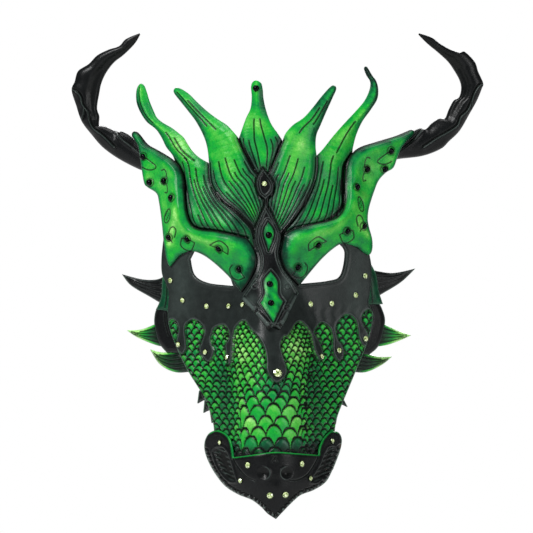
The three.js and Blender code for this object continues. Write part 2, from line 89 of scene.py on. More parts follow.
def surface_normals(x, z):
    step = 1.0
    slope_x = (front_y(x + step, z) - front_y(x - step, z)) / (2 * step)
    slope_z = (front_y(x, z + step) - front_y(x, z - step)) / (2 * step)
    normals = np.column_stack([slope_x, -np.ones_like(slope_x), slope_z])
    return normals / np.linalg.norm(normals, axis=1, keepdims=True)


# Curves and outlines


def lengths_along(points):
    """Each point's distance along the path, from its start."""
    return np.r_[0, np.cumsum(np.linalg.norm(np.diff(points, axis=0), axis=1))]


def even(points, count):
    """A curve of straight pieces, resampled to evenly spaced points."""
    points = np.asarray(points, float)
    lengths = lengths_along(points)
    at = np.linspace(0, lengths[-1], count)
    return np.column_stack([np.interp(at, lengths, points[:, k]) for k in range(points.shape[1])])


def smooth_curve(points):
    """A smooth curve through the points, as many short pieces."""
    points = np.asarray(points, float)
    if len(points) == 2:
        return points
    padded = np.vstack([points[:1], points, points[-1:]])
    share = np.linspace(0, 1, 12, endpoint=False)[:, None]
    pieces = []
    for a, b, c, d in zip(padded, padded[1:], padded[2:], padded[3:]):
        leave = (c - a) / 2
        arrive = (d - b) / 2
        cubic = (2 * b - 2 * c + leave + arrive) * share**3
        square = (-3 * b + 3 * c - 2 * leave - arrive) * share**2
        pieces.append(cubic + square + leave * share + b)
    return np.vstack(pieces + [points[-1:]])


def spline(points, spacing):
    dense = smooth_curve(points)
    length = np.linalg.norm(np.diff(dense, axis=0), axis=1).sum()
    return even(dense, max(1, round(length / spacing)) + 1)


def spread(points, count):
    return even(smooth_curve(points), count)


def outline(runs, spacing=RIM_SAMPLE):
    """Runs are smooth curves that meet in corners."""
    return np.vstack([spline(run, spacing)[:-1] for run in runs])


def tilted_oval(x, z, radius, tilt, stretch):
    angles = np.linspace(0, 2 * np.pi, 40)
    across = radius * np.cos(angles)
    along = radius * stretch * np.sin(angles)
    return np.column_stack([
        x + across * math.cos(tilt) - along * math.sin(tilt),
        z + across * math.sin(tilt) + along * math.cos(tilt),
    ])


def inside(points, loop):
    """Which of the points lie inside a closed loop."""
    order = np.argsort(points[:, 1])
    x = points[order, 0]
    z = points[order, 1]
    odd = np.zeros(len(points), bool)
    for start, end in zip(loop, np.roll(loop, -1, axis=0)):
        low, high = (start, end) if start[1] < end[1] else (end, start)
        first, last = np.searchsorted(z, [low[1], high[1]])
        if last > first:
            slope = (high[0] - low[0]) / (high[1] - low[1])
            odd[first:last] ^= x[first:last] < low[0] + (z[first:last] - low[1]) * slope
    result = np.empty(len(points), bool)
    result[order] = odd
    return result


def nearest(points, line):
    """Each point's distance to the closest sample of a line, and that sample's index."""
    tree = KDTree(len(line))
    for index, (x, z) in enumerate(line):
        tree.insert((x, 0, z), index)
    tree.balance()
    found = [tree.find((x, 0, z)) for x, z in points]
    return np.array([hit[2] for hit in found]), np.array([hit[1] for hit in found])


def carve(points, lines):
    """How far each point is into the grooves, with a painted highlight along each groove's shoulders. A line
    is its points, half width and depth.
    """
    samples = [spline(line, LINE_SAMPLE) for line, _, _ in lines]
    widths = np.concatenate([np.full(len(s), width) for s, (_, width, _) in zip(samples, lines)])
    depths = np.concatenate([np.full(len(s), depth) for s, (_, _, depth) in zip(samples, lines)])
    distance, index = nearest(points, np.vstack(samples))
    share = distance / widths[index]
    return {
        "height": -depths[index] * np.exp(-(share**2)),
        "dark": np.exp(-((share / 1.15) ** 4)),
        # Painted highlight beside each groove
        "light": 0.3 * np.exp(-(((share - 1.9) / 0.35) ** 2)),
    }


# Meshes

# Traces for the painted leather: dark is cut antiquing and painted shade, light is painted highlight and some
# paler rubbed grey
TRACES = ("dark", "tone", "paint", "light")


def make_mesh(name, vertices, faces, materials, traces=None, face_materials=None, sharp=None, flat=False):
    mesh = bpy.data.meshes.new(name)
    mesh.from_pydata((np.asarray(vertices) * MM).tolist(), [], [tuple(map(int, face)) for face in faces])
    mesh.polygons.foreach_set("use_smooth", [not flat] * len(mesh.polygons))
    for material in materials:
        mesh.materials.append(material)
    if face_materials is not None:
        mesh.polygons.foreach_set("material_index", np.asarray(face_materials, np.int32))
    for key, values in (traces or {}).items():
        attribute = mesh.attributes.new(key, "FLOAT", "POINT")
        attribute.data.foreach_set("value", np.asarray(values, np.float32))
    if sharp is not None:
        ends = np.empty(2 * len(mesh.edges), np.int32)
        mesh.edges.foreach_get("vertices", ends)
        on = sharp[ends[0::2]] & sharp[ends[1::2]]
        attribute = mesh.attributes.new("sharp_edge", "BOOLEAN", "EDGE")
        attribute.data.foreach_set("value", on)
    mesh.update()
    piece = bpy.data.objects.new(name, mesh)
    bpy.context.scene.collection.objects.link(piece)
    return piece


def settle(piece, body, slot, *nodes):
    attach(piece, body)
    if nodes:
        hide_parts(*nodes)
    return piece


def triangulate(points, loops):
    """Triangles inside the loops. The points start with the loops' own points, in order."""
    edges = []
    start = 0
    for loop in loops:
        indices = np.arange(start, start + len(loop))
        edges += zip(indices.tolist(), np.roll(indices, -1).tolist())
        start += len(loop)
    placed, _, faces, origins, _, _ = delaunay_2d_cdt([Vector(p) for p in points], edges, [], 0, 1e-6)
    placed = np.array([tuple(point) for point in placed])
    faces = np.array(faces)
    middles = placed[faces].mean(axis=1)
    keep = inside(middles, loops[0])
    for hole in loops[1:]:
        keep &= ~inside(middles, hole)
    where = {source: index for index, sources in enumerate(origins) for source in sources}
    return placed, faces[keep], where


def open_edges(faces):
    """The directed edges that only one face has."""
    starts = faces.ravel()
    ends = np.roll(faces, -1, axis=1).ravel()
    size = faces.max() + 1
    alone = ~np.isin(starts * size + ends, ends * size + starts)
    return np.column_stack([starts[alone], ends[alone]])


def grid_points(loops, spacing, margin):
    low = loops[0].min(axis=0)
    high = loops[0].max(axis=0)
    rows = np.arange(low[1], high[1], spacing * math.sqrt(3) / 2)
    columns = np.arange(low[0], high[0], spacing)
    x, z = np.meshgrid(columns, rows)
    x = x + (np.arange(len(rows)) % 2)[:, None] * spacing / 2
    points = np.column_stack([x.ravel(), z.ravel()])
    return clear_of_rim(points, loops, margin)


def clear_of_rim(points, loops, margin):
    keep = inside(points, loops[0])
    for hole in loops[1:]:
        keep &= ~inside(points, hole)
    points = points[keep]
    distance, _ = nearest(points, np.vstack(loops))
    return points[distance > margin]


def inset_rings(loops, insets):
    """Points just inside the rim, for its rounded edge."""
    rings = []
    for loop in loops:
        along = np.roll(loop, -1, axis=0) - np.roll(loop, 1, axis=0)
        along /= np.linalg.norm(along, axis=1, keepdims=True)
        across = np.column_stack([along[:, 1], -along[:, 0]])
        for inset in insets:
            for way in (-1, 1):
                rings.append(clear_of_rim(loop + way * inset * across, loops, 0.93 * inset))
    return np.vstack(rings)


surfaces = {}  # each plate's flat points and its carved front, for what stands on it


def plate(name, runs, offset, relief, materials, slot, spacing=0.5, thickness=SKIN, holes=(), rim=0.9):
    """A piece of moulded leather with a carved front, a rounded rim and a plain back."""
    loops = [outline(runs)] + [outline(hole) for hole in holes]
    rim_points = np.vstack(loops)
    rings = inset_rings(loops, (0.3 * rim, 0.75 * rim))
    inner = grid_points(loops, spacing, 0.75 * rim + 0.6 * spacing)
    points, front_faces, front_at = triangulate(np.vstack([rim_points, rings, inner]), loops)
    coarse = grid_points(loops, BACK_SAMPLE, 1.0)
    back_points, back_faces, back_at = triangulate(np.vstack([rim_points, coarse]), loops)

    edge, edge_index = nearest(points, rim_points)
    traces = {"height": 0, "dark": 0, "tone": 0.5, "paint": 0, "light": 0}
    traces.update(relief(points, edge, rim_points[edge_index]))
    traces = {key: np.broadcast_to(np.asarray(value, float), len(points)) for key, value in traces.items()}
    drop = rim * (1 - np.sqrt(1 - (1 - np.minimum(edge, rim) / rim) ** 2))
    raised = np.where(edge < rim, np.minimum(traces["height"], 0.3), traces["height"]) - drop
    x, z = points.T
    base = np.column_stack([x, front_y(x, z) + offset, z])
    front = base + surface_normals(x, z) * raised[:, None]
    back_x, back_z = back_points.T
    back = np.column_stack([back_x, front_y(back_x, back_z) + offset + thickness, back_z])
    surfaces[name] = (points, front)

    source = {index: key for key, index in front_at.items()}
    count = len(front)
    walls = []
    for start, end in open_edges(front_faces):
        behind_start = count + back_at[source[start]]
        behind_end = count + back_at[source[end]]
        walls.append((end, start, behind_start, behind_end))
    faces = front_faces.tolist() + walls + (back_faces[:, ::-1] + count).tolist()
    kinds = [0] * (len(front_faces) + len(walls)) + [1] * len(back_faces)
    sharp = np.zeros(count + len(back), bool)
    sharp[[count + back_at[i] for i in range(len(rim_points))]] = True
    full = {key: np.r_[traces[key], np.full(len(back), 0.5)] for key in TRACES}
    vertices = np.vstack([front, back])
    piece = make_mesh(name, vertices, faces, materials, full, kinds, sharp)
    return settle(piece, "mask", slot, name)


def seat(surface, x, z):
    """The point on a plate's carved front at x and z, and the way out of it."""
    points, front = surfaces[surface]
    index = np.argmin(((points - (x, z)) ** 2).sum(axis=1))
    normal = surface_normals(np.array([float(x)]), np.array([float(z)]))[0]
    return front[index], normal


def lathe(name, parts, at, axis, body, slot, sides, nodes=(), flat=False):
    """A turned piece standing at a point. Each part is a profile of radius and height, and a material."""
    axis = Vector(axis).normalized()
    turn = Vector((0, 0, 1)).rotation_difference(axis).to_matrix()
    vertices = []
    faces = []
    kinds = []
    for kind, (profile, _) in enumerate(parts):
        start = len(vertices)
        for radius, height in profile:
            for k in range(sides):
                angle = 2 * math.pi * (k + 0.5) / sides
                spot = Vector((radius * math.cos(angle), radius * math.sin(angle), height))
                vertices.append(tuple(turn @ spot + Vector(at)))
        for row in range(len(profile) - 1):
            for k in range(sides):
                a = start + row * sides + k
                b = start + row * sides + (k + 1) % sides
                faces.append((a, b, b + sides, a + sides))
        faces.append([start + k for k in reversed(range(sides))])
        faces.append([start + (len(profile) - 1) * sides + k for k in range(sides)])
        kinds += [kind] * (len(profile) * sides - sides + 2)
    materials = [material for _, material in parts]
    piece = make_mesh(name, vertices, faces, materials, face_materials=kinds, flat=flat)
    return settle(piece, body, slot, *nodes)


def sweep(name, path, side, section, materials, body, slot, closed=False, nodes=(), scale=None):
    """A section swept along a path. `side` is the path's fixed sideways direction."""
    path = np.asarray(path, float)
    if closed:
        tangents = np.roll(path, -1, axis=0) - np.roll(path, 1, axis=0)
    else:
        tangents = np.gradient(path, axis=0)
    tangents /= np.linalg.norm(tangents, axis=1, keepdims=True)
    side = np.asarray(side, float)
    ups = np.cross(tangents, side)
    sizes = np.ones(len(path)) if scale is None else scale
    section = np.asarray(section, float)
    spots = path[:, None] + sizes[:, None, None] * (
        section[None, :, :1] * side + section[None, :, 1:] * ups[:, None])
    count = len(section)
    rows = len(path)
    faces = []
    for row in range(rows if closed else rows - 1):
        after = (row + 1) % rows
        for k in range(count):
            beside = (k + 1) % count
            faces.append((row * count + k, row * count + beside, after * count + beside, after * count + k))
    if not closed:
        faces.append(list(reversed(range(count))))
        faces.append([(rows - 1) * count + k for k in range(count)])
    piece = make_mesh(name, spots.reshape(-1, 3), faces, materials)
    return settle(piece, body, slot, *nodes)


def round_section(radius, sides, stretch=1.0):
    angles = np.linspace(0, 2 * np.pi, sides, endpoint=False)
    return np.column_stack([radius * stretch * np.cos(angles), radius * np.sin(angles)])


# Materials


def linear(colour):
    """A display colour from 0 to 255 as linear light."""
    parts = [channel / 255 for channel in colour]
    return [part / 12.92 if part <= 0.04045 else ((part + 0.055) / 1.055) ** 2.4 for part in parts] + [1]


class Surface:
    """A material whose nodes are added step by step."""

    def __init__(self, name):
        self.material = bpy.data.materials.new(name)
        self.material.use_nodes = True
        self.tree = self.material.node_tree
        self.shader = self.tree.nodes["Principled BSDF"]
        self.place = self.tree.nodes.new("ShaderNodeTexCoord").outputs["Object"]

    def join(self, source, target):
        self.tree.links.new(source, target)

    def trace(self, key):
        node = self.tree.nodes.new("ShaderNodeAttribute")
        node.attribute_name = key
        return node.outputs["Fac"]

    def noise(self, scale, detail=4, roughness=0.6):
        node = self.tree.nodes.new("ShaderNodeTexNoise")
        node.inputs["Scale"].default_value = scale
        node.inputs["Detail"].default_value = detail
        node.inputs["Roughness"].default_value = roughness
        self.join(self.place, node.inputs["Vector"])
        return node.outputs["Fac"]

    def cells(self, scale):
        node = self.tree.nodes.new("ShaderNodeTexVoronoi")
        node.feature = "SMOOTH_F1"
        node.inputs["Scale"].default_value = scale
        self.join(self.place, node.inputs["Vector"])
        return node.outputs["Distance"]

    def maths(self, operation, first, second, third=None, clamp=False):
        node = self.tree.nodes.new("ShaderNodeMath")
        node.operation = operation
        node.use_clamp = clamp
        for socket, value in zip(node.inputs, (first, second, third)):
            if value is None:
                continue
            if isinstance(value, (int, float)):
                socket.default_value = value
            else:
                self.join(value, socket)
        return node.outputs[0]

    def ramp(self, value, stops):
        node = self.tree.nodes.new("ShaderNodeValToRGB")
        elements = node.color_ramp.elements
        while len(elements) < len(stops):
            elements.new(0.5)
        for element, (position, colour) in zip(elements, stops):
            element.position = position
            element.color = linear(colour)
        self.join(value, node.inputs["Fac"])
        return node.outputs["Color"]

    def mix(self, share, first, second):
        node = self.tree.nodes.new("ShaderNodeMix")
        node.data_type = "RGBA"
        sockets = [s for s in node.inputs if s.enabled]
        for socket, value in zip(sockets, (share, first, second)):
            if isinstance(value, (list, tuple)):
                socket.default_value = value
            elif isinstance(value, (int, float)):
                socket.default_value = value
            else:
                self.join(value, socket)
        return [s for s in node.outputs if s.enabled][0]

    def spread(self, value, low, high):
        node = self.tree.nodes.new("ShaderNodeMapRange")
        node.inputs["To Min"].default_value = low
        node.inputs["To Max"].default_value = high
        self.join(value, node.inputs["Value"])
        return node.outputs["Result"]

    def bump(self, heights):
        """Bumps, each a value, its depth in metres and its strength, the coarsest first."""
        normal = None
        for value, depth, strength in heights:
            node = self.tree.nodes.new("ShaderNodeBump")
            node.inputs["Distance"].default_value = depth
            node.inputs["Strength"].default_value = strength
            self.join(value, node.inputs["Height"])
            if normal is not None:
                self.join(normal, node.inputs["Normal"])
            normal = node.outputs["Normal"]
        self.join(normal, self.shader.inputs["Normal"])

    def finish(self, colour, roughness, **settings):
        self.join(colour, self.shader.inputs["Base Color"])
        self.join(roughness, self.shader.inputs["Roughness"])
        for key, value in settings.items():
            self.shader.inputs[key.replace("_", " ")].default_value = value
        return self.material


GREENS = [
    (0.0, (3, 28, 20)),
    (0.22, (5, 62, 38)),
    (0.42, (10, 116, 54)),
    (0.6, (18, 146, 44)),
    (0.8, (76, 170, 62)),
    (1.0, (152, 212, 118)),
]
BLACKS = [(0.25, (4, 5, 6)), (0.6, (11, 13, 14)), (0.85, (26, 29, 30))]
# Near-black for the dark trace: antiquing in the cuts and painted shade
WAX_AND_PAINTED_SHADE = linear((2, 4, 3))
# Pale colour for the light trace: painted highlights, and a paler rubbed grey on some flats
RUBBED_AND_HIGHLIGHT = linear((150, 172, 164))


def painted_leather():
    """Green dye and black paint over leather. The dark trace lays dark antiquing in the cuts and painted
    shade in hollows, creases and where parts overlap; the light trace lays painted highlights on ridges,
    rims, edges and glints, and a paler rubbed grey on some flats.
    """
    s = Surface("painted_leather")
    mottle = s.noise(170, 5, 0.62)
    fine = s.noise(900, 4, 0.7)
    wander = s.maths("MULTIPLY_ADD", s.maths("SUBTRACT", mottle, 0.5), 0.42, s.trace("tone"))
    wander = s.maths("MULTIPLY_ADD", s.maths("SUBTRACT", fine, 0.5), 0.34, wander, clamp=True)
    green = s.ramp(wander, GREENS)
    black = s.ramp(s.maths("MULTIPLY_ADD", fine, 0.3, s.maths("MULTIPLY", mottle, 0.75)), BLACKS)
    colour = s.mix(s.trace("paint"), green, black)
    # The dark trace: antiquing in the cuts together with painted shade in hollows, creases and under
    # overlapping parts
    wax_and_shade = s.maths("MULTIPLY_ADD", s.maths("SUBTRACT", fine, 0.5), 0.5, s.trace("dark"), clamp=True)
    wax_and_shade = s.maths("MULTIPLY", wax_and_shade, s.maths("GREATER_THAN", s.trace("dark"), 0.02))
    speckle = s.maths("MULTIPLY", s.maths("SUBTRACT", s.noise(620, 3, 0.75), 0.56, clamp=True),
                      2.4, clamp=True)
    colour = s.mix(speckle, colour, WAX_AND_PAINTED_SHADE)
    colour = s.mix(wax_and_shade, colour, WAX_AND_PAINTED_SHADE)
    # The light trace: painted highlights on ridges, rims, rolls and beads, and a paler rubbed grey on some
    # flats
    rub_and_highlight = s.maths("MULTIPLY", s.trace("light"), s.spread(mottle, 0.3, 1.0), clamp=True)
    colour = s.mix(rub_and_highlight, colour, RUBBED_AND_HIGHLIGHT)
    roughness = s.spread(mottle, 0.26, 0.44)
    s.bump([(mottle, 0.0005, 0.25), (s.cells(1300), 0.00025, 0.35), (fine, 0.0002, 0.3)])
    return s.finish(colour, roughness, Coat_Weight=0.03, Coat_Roughness=0.25, Specular_IOR_Level=0.13)


def plain_leather(name, stops, scale, rough_low, rough_high, coat):
    """Leather of one dye, with pores and a little wear."""
    s = Surface(name)
    mottle = s.noise(scale, 5, 0.6)
    fine = s.noise(scale * 6, 4, 0.7)
    value = s.maths("MULTIPLY_ADD", fine, 0.35, s.maths("MULTIPLY", mottle, 0.65))
    colour = s.ramp(value, stops)
    s.bump([(mottle, 0.0006, 0.3), (s.cells(scale * 8), 0.0003, 0.5)])
    return s.finish(colour, s.spread(mottle, rough_low, rough_high), Coat_Weight=coat, Coat_Roughness=0.35)


def metal(name, stops, rough_low, rough_high):
    s = Surface(name)
    wear = s.noise(700, 5, 0.65)
    colour = s.ramp(wear, stops)
    s.bump([(wear, 0.0001, 0.3)])
    return s.finish(colour, s.spread(wear, rough_low, rough_high), Metallic=1.0)


def crystal_glass():
    s = Surface("crystal_glass")
    # Painted glints: noise sets bright and dark facet colours in place of reflections
    painted_glint = s.noise(900, 2, 0.5)
    colour = s.ramp(painted_glint, [(0.36, (70, 96, 40)), (0.5, (186, 210, 120)), (0.62, (246, 255, 214))])
    return s.finish(colour, s.spread(painted_glint, 0.03, 0.1), Coat_Weight=1.0, Coat_Roughness=0.03,
                    IOR=1.7, Transmission_Weight=0.25)


paint = painted_leather()
raw = plain_leather("raw_leather", [(0.3, (38, 33, 29)), (0.55, (62, 54, 47)), (0.8, (84, 74, 64))],
                    160, 0.75, 0.95, 0)
strap_hide = plain_leather("strap_leather", [(0.3, (18, 16, 15)), (0.55, (34, 30, 27)), (0.8, (54, 48, 42))],
                           260, 0.45, 0.65, 0.1)
stud_metal = metal("stud_metal", [(0.3, (9, 9, 11)), (0.6, (22, 23, 26)), (0.8, (44, 46, 52))], 0.2, 0.36)
silver = metal("bezel_metal", [(0.3, (60, 68, 52)), (0.6, (110, 120, 96)), (0.8, (170, 180, 150))], 0.15, 0.3)
buckle_metal = metal("buckle_metal", [(0.3, (110, 110, 108)), (0.6, (160, 160, 156)), (0.8, (196, 196, 190))],
                     0.22, 0.42)
glass = crystal_glass()
LEATHER = [paint, raw]


# Face shell: black eye band with drips, over carved green scales

left_eye = [
    [(-54.5, 4), (-51.5, -7), (-42, -12.5), (-24.5, -14.5)],
    [(-24.5, -14.5), (-30, 0), (-38, 10), (-50, 13)],
    [(-50, 13), (-54.5, 4)],
]
right_eye = [
    [(23, -13), (31, 2), (39.5, 11), (50, 15)],
    [(50, 15), (54, 8.5), (51, -7), (42.5, -11), (23, -13)],
]
face_shell = [
    [(-70, 24), (-73, 20), (-74.3, 12), (-75, 3), (-74.6, -6), (-71.5, -14), (-70, -20.5), (-70.5, -32.5),
     (-69.5, -43), (-65, -56), (-57, -73), (-45, -92.5), (-39, -108), (-37.5, -118)],
    [(-37.5, -118), (-36, -138), (-24, -152), (-2, -164), (6, -167), (14, -162), (32, -150),
     (45, -136), (47, -114.5)],
    [(47, -114.5), (49.5, -104), (61, -76.5), (70, -54), (74, -36), (71, -27), (72, -18), (73, -3),
     (71, 10), (68.5, 24)],
    [(68.5, 24), (52, 22), (30, 13), (12, 18), (0, 19), (-12, 18), (-30, 12), (-54, 18.5), (-70, 24)],
]
drip_edge = [
    [(-76, -44), (-70, -40.5), (-67, -38), (-63.5, -41), (-62.8, -46), (-64, -53), (-63.5, -59), (-60, -62.5),
     (-57, -59), (-57, -54), (-58, -47), (-57.5, -42), (-55, -39.5), (-51.5, -38.2), (-47.5, -40.5),
     (-44.4, -45.6), (-46, -53), (-47.8, -60), (-41.7, -68), (-37.5, -61.5), (-39.8, -53), (-38.7, -48),
     (-37, -44), (-31, -42), (-27.3, -46), (-27, -51.6), (-29.6, -57), (-26.6, -72)],
    [(-26.6, -72), (-24.6, -64.5), (-24.3, -55.5), (-23.5, -48), (-21.2, -42.5), (-16, -39), (-11.4, -45),
     (-6, -51), (-2.3, -58.5), (-1, -66), (-0.4, -75), (6, -82), (12.9, -75), (10.2, -63), (8.7, -55.5),
     (11, -50), (13.7, -49), (21.2, -39.5), (28.4, -45.6), (31, -53), (32.3, -60), (36, -67.6)],
    [(36, -67.6), (38.3, -63), (36.8, -55.5), (33.8, -50), (32.3, -46.4), (37.2, -40.3), (43.2, -44),
     (45.2, -51), (45.2, -58.5), (46, -63), (49.7, -67.6), (53, -63.8), (52.4, -57), (49, -51.7),
     (47.8, -42.5), (54.3, -34.6), (61, -38), (63, -45.6), (63.8, -51.7), (67.2, -57), (71, -54),
     (70.2, -47.9), (66.8, -41.8), (66, -35.7), (69.5, -31.5), (73, -32.7), (78, -36)],
]
drip_ends = [(-60.3, -57, 4), (-42.8, -61, 4.5), (-27, -63, 3), (6.3, -74.5, 7), (35.8, -62, 3),
             (49.3, -61, 4), (67.5, -52.5, 3.5)]


# How wide and how far apart the muzzle's scales are at these heights below the frame's origin
SCALE_AT = [36, 55, 72, 88, 97, 104]
SCALE_WIDE = [3.6, 4.2, 5.0, 6.6, 8.8, 11.0]
SCALE_PITCH = [3.0, 3.2, 3.9, 4.8, 6.2, 7.6]


def muzzle_half(z):
    """Where the muzzle's scales meet the cheeks'."""
    return 30 - 7 * smooth(76, 96, -z)


def scale_tone(x, z):
    """How yellow (1) or dark (0) the green is, with painted highlights on the muzzle's lobes and painted
    shade below the nose drip, in the side valleys and in the last rows above the snout.
    """
    side = abs(x - centre_x(z))
    lobe_highlights = 0.24 * hump(x + 15, 9) * hump(z + 60, 15) + 0.24 * hump(x - 21, 9) * hump(z + 60, 15)
    chin = 0.15 * hump(side - 17, 7) * hump(z + 115, 12)
    shade = 0.4 * hump(x - 6, 9) * hump(z + 86, 10) + 0.2 * hump(side - 31, 6) * smooth(-55, -75, z)
    return 0.58 + lobe_highlights + chin - shade - 0.1 * smooth(28, 40, side) - 0.4 * smooth(-121, -129, z)


def scales():
    """Rows of scales from the top down: x, arch centre z, half width, arch height and drop below."""
    made = []
    reach = np.linspace(-34, 34, 400)
    z = -36.0
    row = 0
    while z > -137:
        pitch = np.interp(-z, SCALE_AT, SCALE_PITCH)
        edge = muzzle_half(z)
        widths = np.interp(-z, SCALE_AT, SCALE_WIDE) * (1 - 0.4 * smooth(0.5 * edge, edge, np.abs(reach)))
        count = np.r_[0, np.cumsum(np.diff(reach) / widths[1:])]
        count -= np.interp(0, reach, count)
        for k in np.arange(-12, 13) + 0.5 * (row % 2):
            if count[0] < k < count[-1]:
                at = np.interp(k, count, reach)
                half = np.interp(at, reach, widths) / 2
                if abs(at) < edge:
                    lift = 0.6 * math.sin(0.4 * at + 0.5) + random.uniform(-0.12, 0.12) * pitch
                    middle = at + centre_x(z) + 1.8 * smooth(80, 100, -z)
                    made.append((middle, z + lift, half, pitch * 1.05, 2.0 * pitch))
        z -= pitch
        row += 1
    for way in (-1, 1):
        z = -30.0
        row = 0
        while z > -137:
            edge = muzzle_half(z)
            side = edge - 2 + 1.4 * (row % 2)
            while side < 78:
                half = 2.75 * (1 - 0.3 * smooth(edge + 8, edge, side))
                lift = random.uniform(-0.25, 0.25)
                made.append((way * (side + half) + centre_x(z), z + lift, half, 3.9, 7.5))
                side += 2 * half
            z -= 3.7
            row += 1
    made.sort(key=lambda scale: -scale[1] - scale[3])
    return made


def scale_relief(points):
    """Height, dark, tone and light of the carved scales, the lower ones over the upper: black cut lines,
    painted shade toward each scale's rim and its tucked base, and a painted highlight on one side of its rim.
    """
    order = np.argsort(points[:, 1])
    x, z = points[order].T
    height = np.full(len(x), -0.2)
    dark = np.full(len(x), 0.7)
    tone = np.full(len(x), 0.35)
    light = np.zeros(len(x))
    for middle, base, half, arch, below in scales():
        first, last = np.searchsorted(z, [base - below, base + arch + 1.4])
        near = np.flatnonzero(np.abs(x[first:last] - middle) < half + 0.8) + first
        u = (x[near] - middle) / half
        v = np.maximum(z[near] - base, 0) / arch
        power = 1.6 if half < 3.6 else 1.9
        reach = (np.abs(u) ** power + v**power) ** (1 / power)
        top = v / np.maximum(reach, 1e-6)
        cut = 0.22 + (1.25 if half > 2.5 else 1.0) * top**1.3
        outside = reach < 1 + cut / half
        face = reach < 1
        line = near[outside & ~face]
        height[line] = -0.45
        dark[line] = 1
        light[line] = 0
        body = near[face]
        u, v, reach = u[face], v[face], reach[face]
        low = (z[body] - base) / arch
        height[body] = 0.05 + 0.55 * smooth(-1.5, 0.8, low) * (1 - 0.5 * reach**6)
        # Painted shade: darker into the cut at the rim and toward the base, where the next row laps over
        dark[body] = 0.7 * smooth(0.84, 1.02, reach) + 0.45 * smooth(-0.3, -1.3, low)
        mottled = scale_tone(middle, base) + random.uniform(-0.12, 0.12)
        tone[body] = mottled + 0.14 * low * (low > 0)
        # Painted highlight along the rim, on the right side only
        light[body] = 0.14 * hump(reach - 0.74, 0.1) * smooth(0.1, 0.6, v) * (u > 0)
    out = {}
    for key, values in (("height", height), ("dark", dark), ("tone", tone), ("light", light)):
        out[key] = np.empty(len(x))
        out[key][order] = values
    return out


def shell_relief(points, edge, _):
    x, z = points.T
    line = np.vstack([spline(run, LINE_SAMPLE) for run in drip_edge])
    distance, _ = nearest(points, line)
    green = inside(points, np.vstack([line, [(90, -36), (90, -190), (-90, -190), (-90, -44)]]))
    depth = np.where(green, distance, -distance)
    carved = scale_relief(points)
    black = 1 - smooth(-0.2, 0.3, depth)
    groove = hump(depth - 0.75, 0.6)
    ridge = hump(depth + 0.9, 0.4)
    bulbs = sum(hump(np.hypot(x - bx, z - bz), radius) for bx, bz, radius in drip_ends)
    wave = 0.12 * np.sin(x * 0.9 + 0.5 * np.sin(z * 0.7)) * hump(z + 36, 7)
    band = 0.55 + 0.5 * bulbs + 0.3 * ridge + wave
    eye_lines = np.vstack([outline(left_eye), outline(right_eye)])
    to_eye, _ = nearest(points, eye_lines)
    band += 0.35 * hump(to_eye - 1.1, 0.7) - 0.3 * hump(to_eye - 2.8, 0.7)
    # Painted shade in the valleys beside the muzzle
    valley_shade = hump(np.abs(x - centre_x(z)) - 31, 6) * smooth(-60, -80, z)
    height = np.where(green, carved["height"], band) - 0.7 * groove
    height -= (1.2 + band) * smooth(8, 12, z) * smooth(22, 14, np.abs(x))
    # Painted shade where the scales run under the snout plate
    under_snout_shade = smooth(-125, -132, z)
    dark = np.maximum(carved["dark"], 0.9 * groove) * green
    dark = np.maximum(dark, 0.55 * smooth(4.0, 0.5, edge) * green)
    dark = np.maximum(dark, 0.3 * valley_shade * green)
    dark = np.maximum(dark, under_snout_shade)
    # Painted sheen on the band at the temples, and painted highlight lines just inside the drips' edges and
    # round the eye holes
    sheen = 0.04 + 0.06 * hump(np.abs(x) - 62, 9) * smooth(-45, -30, z)
    edges = 0.2 * hump(depth + 0.85, 0.2) + 0.16 * hump(to_eye - 1.0, 0.25)
    light = np.where(green, carved["light"], sheen + edges)
    return {"height": height, "dark": dark, "tone": carved["tone"], "paint": black, "light": light}


plate("face_shell", face_shell, 0, shell_relief, LEATHER, "green_leather", spacing=0.52,
      holes=[left_eye, right_eye])


# Crest: five flame-shaped blades with carved grain lines

